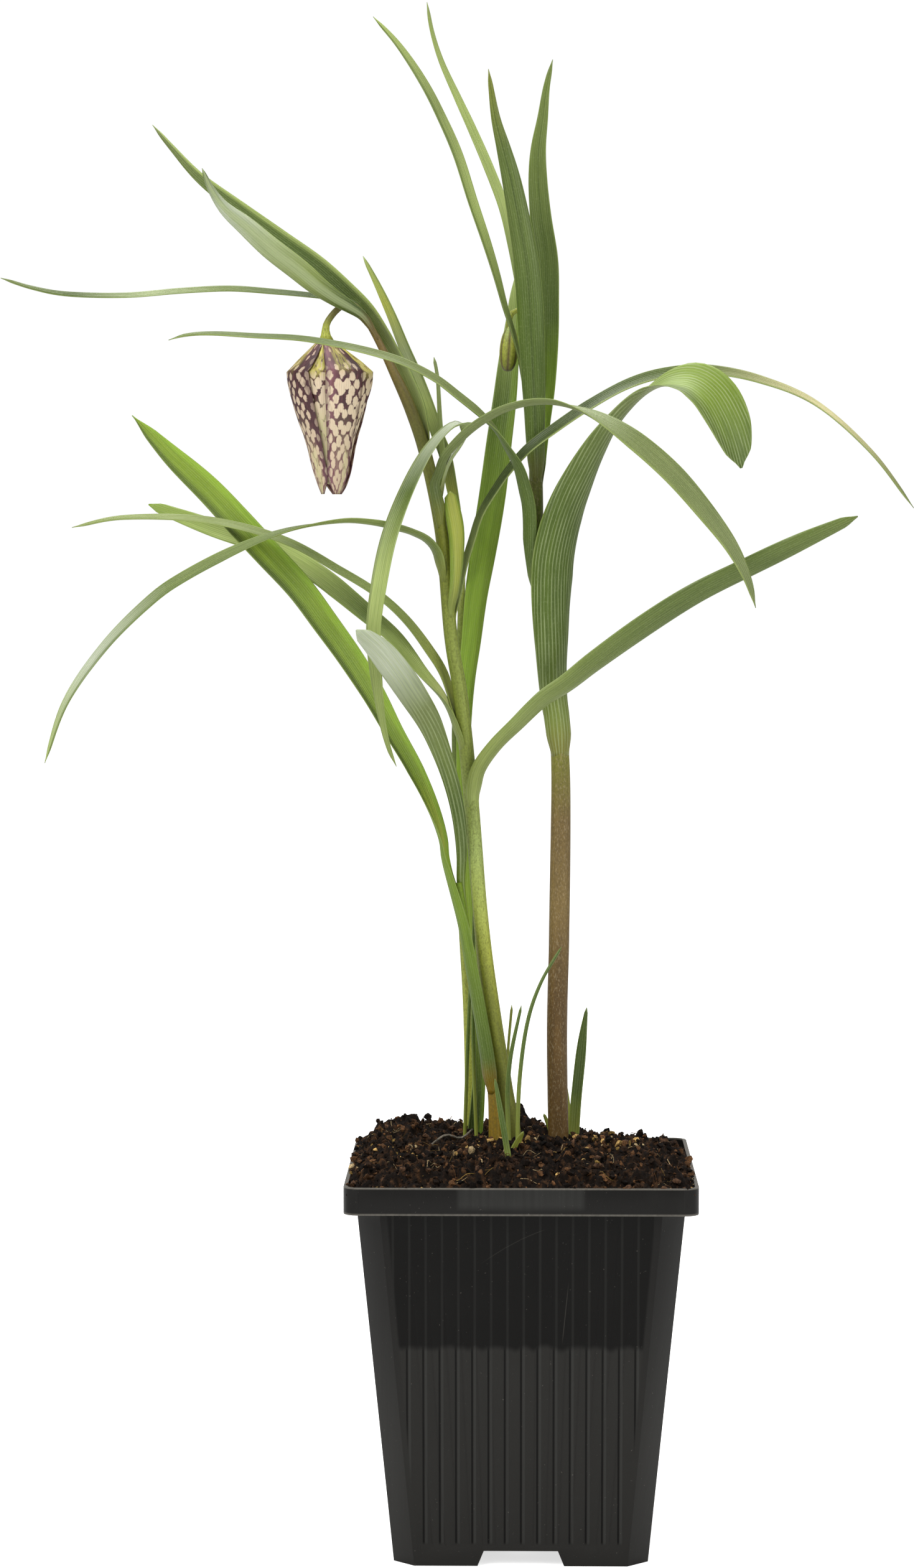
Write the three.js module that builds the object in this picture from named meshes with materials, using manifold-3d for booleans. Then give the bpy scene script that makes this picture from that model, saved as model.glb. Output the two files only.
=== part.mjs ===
// Potted snake's head fritillary: a square nursery pot with moist soil, four bulbs,
// their stems with grass-like leaves, one open chequered bell and one closed bud.
// Lengths are in millimetres and +Z is up. Plant places are measured from the pot's
// centre line, with X to the right, Y to the back and Z from the pot's foot.

import * as THREE from "three";
import { mergeVertices } from "three/addons/utils/BufferGeometryUtils.js";
import Module from "manifold-3d";

const wasm = await Module();
wasm.setup();

// Driving dimensions
const FIT = 0.3;
const POT_HEIGHT = 99.5;
const RIM_WIDTH = 90;
const RIM_BAND = 7;
const RIM_CORNER = 4;
const BODY_MOUTH = 83.6;
const BODY_FOOT = 65.5;
const MOUTH_CHAMFER = 6;
const FOOT_CHAMFER = 5.4;
const WALL = 1;
const FLOOR = 1.2;
const CHANNEL_WIDTH = 23;
const CHANNEL_ROOF_WIDTH = 19;
const CHANNEL_HEIGHT = 4;
const DRAIN_RADIUS = 3;
const GROOVES = 15;
const GROOVE_PITCH = 4.15;
const GROOVE_HALF = 0.45;
const GROOVE_DEPTH = 0.3;
const GROOVE_FOOT = 5;
const GROOVE_TOP = 88;

const SOIL_CELLS = 16;
const SOIL_LEVEL = 102;

const BLADE = 0.6;
const FLOWER_TOP = new THREE.Vector3(-49.8, -6, 315.2);
const TEPAL = 0.6;
const TEPAL_LAYER = 0.95;
const TEPAL_TUCK = 1.3;
const BELL_LEAN = 0.02;

const degrees = THREE.MathUtils.degToRad;

const COLOURS = {
  plastic: { color: 0x21211f, roughness: 0.38 },
  soil: { color: 0x2a1f17, roughness: 0.95 },
  leaf: { color: 0x5f7f3a, roughness: 0.55 },
  leafPale: { color: 0x93aa52, roughness: 0.55 },
  stem: { color: 0x6b6a3c, roughness: 0.6 },
  bulb: { color: 0xe6dcc2, roughness: 0.7 },
  tepal: { color: 0x7a4a55, roughness: 0.6 },
  heart: { color: 0xb9b45a, roughness: 0.6 },
};

// A solid made from closed geometry, for joining and cutting
function solidOf(geometry) {
  const plain = geometry.clone();
  plain.deleteAttribute("normal");
  plain.deleteAttribute("uv");
  const merged = mergeVertices(plain, 1e-4);
  return new wasm.Manifold(new wasm.Mesh({
    numProp: 3,
    vertProperties: new Float32Array(merged.attributes.position.array),
    triVerts: new Uint32Array(merged.index.array),
  }));
}

// The geometry of a finished solid
function geometryOf(solid) {
  const mesh = solid.getMesh();
  const geometry = new THREE.BufferGeometry();
  geometry.setAttribute("position", new THREE.BufferAttribute(new Float32Array(mesh.vertProperties), 3));
  geometry.setIndex(new THREE.BufferAttribute(new Uint32Array(mesh.triVerts), 1));
  geometry.computeVertexNormals();
  return geometry;
}

// Closed geometry from rings of equal length, listed anticlockwise seen against the sweep.
// half tells where the ring turns back, so that both faces of a blade split alike.
function skinRings(rings, half = 0) {
  const count = rings[0].length;
  const positions = rings.flat().flatMap((point) => point.toArray());
  const index = [];
  for (let ring = 0; ring < rings.length - 1; ring += 1) {
    for (let side = 0; side < count; side += 1) {
      const a = ring * count + side;
      const b = ring * count + (side + 1) % count;
      const c = a + count;
      const d = b + count;
      if (side < half) {
        index.push(a, b, d, a, d, c);
      } else {
        index.push(a, b, c, b, d, c);
      }
    }
  }
  const last = (rings.length - 1) * count;
  if (half > 0) {
    for (let side = 0; side < half - 1; side += 1) {
      const back = count - 1 - side;
      index.push(side, back, side + 1, side + 1, back, back - 1);
      index.push(last + side, last + side + 1, last + back);
      index.push(last + side + 1, last + back - 1, last + back);
    }
  } else {
    for (let side = 1; side < count - 1; side += 1) {
      index.push(0, side + 1, side);
      index.push(last, last + side, last + side + 1);
    }
  }
  const geometry = new THREE.BufferGeometry();
  geometry.setAttribute("position", new THREE.Float32BufferAttribute(positions, 3));
  geometry.setIndex(index);
  return geometry;
}

// A value between evenly spaced ones, on a smooth curve through them
function smoothAlong(values, u) {
  const place = u * (values.length - 1);
  const left = Math.min(Math.floor(place), values.length - 2);
  const t = place - left;
  const p1 = values[left];
  const p2 = values[left + 1];
  const p0 = left > 0 ? values[left - 1] : 2 * p1 - p2;
  const p3 = left + 2 < values.length ? values[left + 2] : 2 * p2 - p1;
  const m1 = (p2 - p0) / 2;
  const m2 = (p3 - p1) / 2;
  const t2 = t * t;
  const t3 = t2 * t;
  return (2 * t3 - 3 * t2 + 1) * p1 + (t3 - 2 * t2 + t) * m1 + (3 * t2 - 2 * t3) * p2 + (t3 - t2) * m2;
}

// A value between evenly spaced ones, on straight lines
function straightAlong(values, u) {
  const place = u * (values.length - 1);
  const left = Math.min(Math.floor(place), values.length - 2);
  return THREE.MathUtils.lerp(values[left], values[left + 1], place - left);
}

function curveThrough(points) {
  const vectors = points.map((point) => (point.isVector3 ? point : new THREE.Vector3(...point)));
  return new THREE.CatmullRomCurve3(vectors, false, "catmullrom", 0.5);
}

// A round stem along a route, with radii spaced evenly from its foot to its top
function stemGeometry({ curve, radii, steps, sides = 8 }, extra = 0) {
  const rings = [];
  const across = new THREE.Vector3(1, 0, 0);
  for (let step = 0; step <= steps; step += 1) {
    const u = step / steps;
    const centre = curve.getPointAt(u);
    const tangent = curve.getTangentAt(u);
    across.addScaledVector(tangent, -across.dot(tangent)).normalize();
    const up = new THREE.Vector3().crossVectors(tangent, across);
    const radius = smoothAlong(radii, u) + extra;
    const ring = [];
    for (let side = 0; side < sides; side += 1) {
      const angle = (side / sides) * 2 * Math.PI;
      const point = centre.clone();
      point.addScaledVector(across, radius * Math.cos(angle));
      point.addScaledVector(up, radius * Math.sin(angle));
      ring.push(point);
    }
    rings.push(ring);
  }
  return skinRings(rings);
}

// The stem's centre, direction and radius at a height
function stemAt(stem, height) {
  let low = 0;
  let high = stem.topShare ?? 1;
  for (let round = 0; round < 40; round += 1) {
    const middle = (low + high) / 2;
    if (stem.curve.getPointAt(middle).z < height) {
      low = middle;
    } else {
      high = middle;
    }
  }
  return {
    centre: stem.curve.getPointAt(low),
    tangent: stem.curve.getTangentAt(low),
    radius: smoothAlong(stem.radii, low),
  };
}

// Where a leaf's keel lies against its stem at a height, on the side that azimuth names
function seatOn(stem, height, azimuth) {
  const { centre, tangent, radius } = stemAt(stem, height);
  const outward = new THREE.Vector3(Math.cos(degrees(azimuth)), Math.sin(degrees(azimuth)), 0);
  outward.addScaledVector(tangent, -outward.dot(tangent)).normalize();
  const reach = radius + FIT + BLADE / 2;
  return {
    point: centre.clone().addScaledVector(outward, reach),
    inward: outward.clone().negate(),
    reach,
  };
}

// A channelled leaf blade. widths (mm), folds (half angle of the channel, degrees) and faces
// (which way the upper side looks) are spaced evenly from base to tip.
function bladeGeometry({ stem, seats = [], azimuth = 0, route, widths, folds, faces, steps = 14, across = 4 }) {
  const seated = seats.map((height) => seatOn(stem, height, azimuth));
  const points = [...seated.map((seat) => seat.point), ...route];
  const curve = curveThrough(points);
  const hints = faces.map((face) => new THREE.Vector3(...face).normalize());
  const spans = [...widths];
  if (seated.length > 0) {
    hints.unshift(seated[0].inward);
    spans.unshift(2 * seated[0].reach * degrees(folds[0]));
  }
  const rings = [];
  for (let step = 0; step <= steps; step += 1) {
    const u = step / steps;
    const centre = curve.getPointAt(u);
    const tangent = curve.getTangentAt(u);
    const upper = new THREE.Vector3(
      straightAlong(hints.map((hint) => hint.x), u),
      straightAlong(hints.map((hint) => hint.y), u),
      straightAlong(hints.map((hint) => hint.z), u),
    );
    upper.addScaledVector(tangent, -upper.dot(tangent)).normalize();
    const side = new THREE.Vector3().crossVectors(upper, tangent);
    const fold = degrees(straightAlong(folds, u));
    const bend = Math.max(smoothAlong(spans, u), 0.7) / (2 * fold);
    const face = [];
    const back = [];
    for (let column = 0; column <= across; column += 1) {
      const angle = (column / across - 0.5) * 2 * fold;
      for (const [list, depth] of [[face, BLADE / 2], [back, -BLADE / 2]]) {
        const arm = bend - depth;
        const point = centre.clone();
        point.addScaledVector(upper, bend - arm * Math.cos(angle));
        point.addScaledVector(side, arm * Math.sin(angle));
        list.push(point);
      }
    }
    rings.push([...back, ...face.reverse()]);
  }
  return skinRings(rings, across + 1);
}

// Pot

// A square outline with cut corners; each side carries vertical grooves of a given depth
function groovedSquare(halfWidth, chamfer, depth) {
  const points = [];
  for (let quarter = 0; quarter < 4; quarter += 1) {
    const turn = (quarter * Math.PI) / 2;
    const put = (along, out) => {
      points.push(new THREE.Vector2(out, along).rotateAround(new THREE.Vector2(), turn));
    };
    put(-(halfWidth - chamfer), halfWidth);
    const spread = (halfWidth - chamfer) / (BODY_MOUTH / 2 - MOUTH_CHAMFER);
    for (let groove = 0; groove < GROOVES; groove += 1) {
      const centre = (groove - (GROOVES - 1) / 2) * GROOVE_PITCH * spread;
      put(centre - GROOVE_HALF, halfWidth);
      put(centre, halfWidth - depth);
      put(centre + GROOVE_HALF, halfWidth);
    }
    put(halfWidth - chamfer, halfWidth);
  }
  return points;
}

function plainSquare(halfWidth, chamfer) {
  const points = [];
  for (let quarter = 0; quarter < 4; quarter += 1) {
    const turn = (quarter * Math.PI) / 2;
    for (const along of [-(halfWidth - chamfer), halfWidth - chamfer]) {
      points.push(new THREE.Vector2(halfWidth, along).rotateAround(new THREE.Vector2(), turn));
    }
  }
  return points;
}

function roundSquare(halfWidth, radius) {
  const points = [];
  for (let quarter = 0; quarter < 4; quarter += 1) {
    for (let step = 0; step <= 4; step += 1) {
      const angle = (quarter + step / 4) * (Math.PI / 2);
      const corner = new THREE.Vector2(halfWidth - radius, halfWidth - radius);
      corner.rotateAround(new THREE.Vector2(), (quarter * Math.PI) / 2);
      points.push(corner.add(new THREE.Vector2(Math.cos(angle), Math.sin(angle)).multiplyScalar(radius)));
    }
  }
  return points;
}

// A loft through flat outlines, each given with its height
function loft(levels) {
  return skinRings(levels.map(([height, outline]) => outline.map((p) => new THREE.Vector3(p.x, p.y, height))));
}

// Half the body's width and its corner cut at a height
function bodyAt(height) {
  const share = height / (POT_HEIGHT - RIM_BAND);
  return {
    half: THREE.MathUtils.lerp(BODY_FOOT, BODY_MOUTH, share) / 2,
    chamfer: THREE.MathUtils.lerp(FOOT_CHAMFER, MOUTH_CHAMFER, share),
  };
}

function bodyLevel(height, groove) {
  const { half, chamfer } = bodyAt(height);
  return [height, groovedSquare(half, chamfer, groove)];
}

// The inside of the body, drawn in by inset, from a floor height to a top height
function bodyInside(inset, floor, top) {
  const outline = (height) => {
    const { half, chamfer } = bodyAt(height);
    return [height, plainSquare(half - inset, chamfer)];
  };
  return solidOf(loft([outline(floor), outline(top)]));
}

// The raised channels that cross under the floor, grown by a margin
function channelBars(margin) {
  const low = CHANNEL_WIDTH / 2 + margin;
  const high = CHANNEL_ROOF_WIDTH / 2 + margin;
  const reach = BODY_MOUTH;
  const profile = new THREE.Shape([
    new THREE.Vector2(-low, -1),
    new THREE.Vector2(low, -1),
    new THREE.Vector2(high, CHANNEL_HEIGHT + margin),
    new THREE.Vector2(-high, CHANNEL_HEIGHT + margin),
  ]);
  const bar = new THREE.ExtrudeGeometry(profile, { depth: reach, bevelEnabled: false });
  bar.translate(0, 0, -reach / 2);
  bar.rotateX(Math.PI / 2);
  const crossing = bar.clone().rotateZ(Math.PI / 2);
  return solidOf(bar).add(solidOf(crossing));
}

function makePot() {
  const rimFoot = POT_HEIGHT - RIM_BAND;
  const body = solidOf(loft([
    bodyLevel(0, 0),
    bodyLevel(GROOVE_FOOT, 0),
    bodyLevel(GROOVE_FOOT + 1, GROOVE_DEPTH),
    bodyLevel(GROOVE_TOP - 1, GROOVE_DEPTH),
    bodyLevel(GROOVE_TOP, 0),
    bodyLevel(rimFoot + WALL / 2, 0),
  ]));
  const rim = solidOf(loft([
    [rimFoot, roundSquare(RIM_WIDTH / 2, RIM_CORNER)],
    [POT_HEIGHT, roundSquare(RIM_WIDTH / 2, RIM_CORNER)],
  ]));
  const recess = solidOf(loft([
    [rimFoot + WALL, roundSquare(RIM_WIDTH / 2 - WALL, RIM_CORNER - WALL)],
    [POT_HEIGHT + 1, roundSquare(RIM_WIDTH / 2 - WALL, RIM_CORNER - WALL)],
  ]));
  const raisedFloor = channelBars(FLOOR);
  const inside = bodyInside(WALL, FLOOR, rimFoot + WALL + 0.5).subtract(raisedFloor);
  let pot = body.add(rim).subtract(recess).subtract(inside).subtract(channelBars(0));
  const offset = BODY_FOOT / 4;
  for (const [x, y] of [[0, 0], [offset, 0], [-offset, 0], [0, offset], [0, -offset]]) {
    const drill = new THREE.CylinderGeometry(DRAIN_RADIUS, DRAIN_RADIUS, 4, 16);
    drill.rotateX(Math.PI / 2);
    drill.translate(x, y, CHANNEL_HEIGHT + FLOOR / 2);
    pot = pot.subtract(solidOf(drill));
  }
  return geometryOf(pot);
}

// Soil

// A repeatable value between 0 and 1 for a place on the grid
function scatter(column, row) {
  const value = Math.sin(column * 127.1 + row * 311.7) * 43758.5453;
  return value - Math.floor(value);
}

// The surface: a low dome, lumps, a clump behind the stems and a dip at the back right
function soilHeight(x, y) {
  const dome = 2.2 * (1 - (x * x + y * y) / 2400);
  const lumps = 0.7 * Math.sin(x * 0.55 + 1.3) * Math.cos(y * 0.47) + 0.45 * Math.sin(x * 1.05 - y * 0.9);
  const clump = 7 * Math.exp(-((x + 0.5) ** 2) / 22 - ((y - 24) ** 2) / 24);
  const dip = 3.6 * Math.exp(-((x - 34) ** 2) / 420 - ((y - 38) ** 2) / 260);
  const ridge = 1.6 * Math.exp(-((x + 26) ** 2) / 260 - ((y - 30) ** 2) / 160);
  return SOIL_LEVEL + dome + lumps + clump + ridge - dip;
}

function soilCap(half, foot) {
  const positions = [];
  const index = [];
  const side = SOIL_CELLS + 1;
  for (let row = 0; row < side; row += 1) {
    for (let column = 0; column < side; column += 1) {
      const x = (column / SOIL_CELLS - 0.5) * 2 * half;
      const y = (row / SOIL_CELLS - 0.5) * 2 * half;
      const rough = 0.9 * (scatter(column, row) - 0.5);
      positions.push(x, y, soilHeight(x, y) + rough);
    }
  }
  for (let row = 0; row < SOIL_CELLS; row += 1) {
    for (let column = 0; column < SOIL_CELLS; column += 1) {
      const a = row * side + column;
      index.push(a, a + 1, a + side + 1, a, a + side + 1, a + side);
    }
  }
  const edge = [];
  for (let step = 0; step < SOIL_CELLS; step += 1) edge.push(step);
  for (let step = 0; step < SOIL_CELLS; step += 1) edge.push(step * side + SOIL_CELLS);
  for (let step = SOIL_CELLS; step > 0; step -= 1) edge.push(SOIL_CELLS * side + step);
  for (let step = SOIL_CELLS; step > 0; step -= 1) edge.push(step * side);
  const low = positions.length / 3;
  for (const corner of edge) {
    positions.push(positions[corner * 3], positions[corner * 3 + 1], foot);
  }
  const middle = low + edge.length;
  positions.push(0, 0, foot);
  edge.forEach((corner, step) => {
    const next = (step + 1) % edge.length;
    index.push(corner, low + step, edge[next], edge[next], low + step, low + next);
    index.push(low + step, middle, low + next);
  });
  const geometry = new THREE.BufferGeometry();
  geometry.setAttribute("position", new THREE.Float32BufferAttribute(positions, 3));
  geometry.setIndex(index);
  return geometry;
}

// Soil in the pot, with a plain hole for each stem, blade base and bulb
function makeSoil(holes) {
  const rimFoot = POT_HEIGHT - RIM_BAND;
  const half = RIM_WIDTH / 2 - WALL - FIT;
  const cap = solidOf(soilCap(half, rimFoot + WALL + FIT));
  const corners = solidOf(loft([
    [rimFoot, roundSquare(half, RIM_CORNER - WALL)],
    [SOIL_LEVEL + 20, roundSquare(half, RIM_CORNER - WALL)],
  ]));
  const mass = bodyInside(WALL + FIT, FLOOR + FIT, rimFoot + WALL + 1).subtract(channelBars(FLOOR + FIT));
  let soil = cap.intersect(corners).add(mass);
  for (const hole of holes) {
    soil = soil.subtract(solidOf(hole));
  }
  return geometryOf(soil);
}

// Bulbs

const BULBS = {
  bulb_a: { centre: [-1.5, 11.5, 68], radius: 5.2 },
  bulb_b: { centre: [9.5, 11.5, 68], radius: 5.2 },
  bulb_c: { centre: [-6.5, 1, 74], radius: 3.8 },
  bulb_d: { centre: [-13.8, 23, 66], radius: 5.2 },
};

// How far the hole round a bulb reaches up into its stem's hole
const BULB_NECK = 1.5;

// An onion-shaped bulb, a little flat below and drawn up to its neck
function bulbGeometry({ centre, radius }, extra = 0) {
  const outline = [new THREE.Vector2(0, -0.85 * radius - extra)];
  for (const [out, up] of [[0.55, -0.78], [0.9, -0.4], [1, 0], [0.82, 0.5], [0.45, 0.85]]) {
    outline.push(new THREE.Vector2(out * radius + extra, up * radius + extra * Math.sign(up)));
  }
  outline.push(new THREE.Vector2(0, radius + (extra > 0 ? BULB_NECK : 0)));
  const geometry = new THREE.LatheGeometry(outline, 10);
  geometry.rotateX(Math.PI / 2);
  geometry.translate(...centre);
  return geometry;
}

// Stems

const STEM_A = {
  curve: curveThrough([
    [-1.5, 11.5, 73.6], [-1.8, 9.5, 100], [-4.5, 8, 117.5], [-7, 7, 134.5], [-9, 6, 151], [-10.5, 5, 167.5],
    [-13, 4, 194], [-16, 4, 221.5], [-18.5, 3.5, 238], [-20.5, 2, 264], [-24.5, 0, 283.5], [-28.8, -1, 296.5],
    [-33.9, -2, 307.5], [-38.4, -3, 316.5], [-41.4, -4, 321.3], [-43.6, -5, 323.4], [-45.8, -5.6, 323.6],
    [-47.8, -6, 322.2], [-49.4, -6, 320.4], [-50.4, -6, 318.6], [-50.6, -6, 317], [-50.2, -6, 315.6],
  ]),
  radii: [2, 2.1, 2.2, 2.25, 2.2, 2.1, 2, 1.95, 1.9, 1.85, 1.8, 1.7, 1.6, 1.55, 1.5, 1.5, 1.45, 1.4, 0.75, 0.8,
    0.9],
  steps: 34,
  topShare: 0.92,
};

const STEM_B = {
  curve: curveThrough([
    [9.5, 11.5, 73.6], [9.5, 10, 102], [9, 9.5, 134], [9.5, 9.5, 159], [10.2, 9.5, 200], [7.7, 9.5, 225],
    [5, 9.5, 249.5], [3.9, 9.5, 262.5], [3.8, 9.5, 274], [3.4, 9.5, 292], [3.2, 9.5, 304],
  ]),
  radii: [2.4, 2.6, 2.6, 2.6, 2.6, 2.5, 2.4, 2.3, 2.1, 2, 1.9, 1.7, 1.4],
  steps: 20,
};

const STEM_C = {
  curve: curveThrough([
    [-6.5, 1.2, 78.2], [-6.8, 3.4, 100], [-7.5, 4, 115.5], [-9.2, 3.4, 127], [-11.7, 2.6, 142],
    [-14.5, 1.8, 158], [-17, 1, 173],
  ]),
  radii: [1.5, 1.5, 1.5, 1.4, 1.3, 1.2, 1.1],
  steps: 12,
  sides: 8,
};

const STEM_D = {
  curve: curveThrough([
    [-14.4, 25, 71.5], [-14.4, 25.2, 102], [-14.6, 25.4, 124], [-15.2, 25.2, 141], [-16.3, 24.8, 160],
    [-16.5, 24.2, 183], [-17.6, 24, 208], [-17.2, 24, 219.5], [-16.2, 23.6, 240], [-16, 19, 254],
    [-16.4, 14.5, 263], [-17, 12.5, 270],
  ]),
  radii: [1.3, 1.2, 1.1, 1.1, 1, 1],
  steps: 15,
  sides: 8,
};

const STEMS = { stem_a: STEM_A, stem_b: STEM_B, stem_c: STEM_C, stem_d: STEM_D };

// Leaves on the flowering stem at the left

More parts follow.
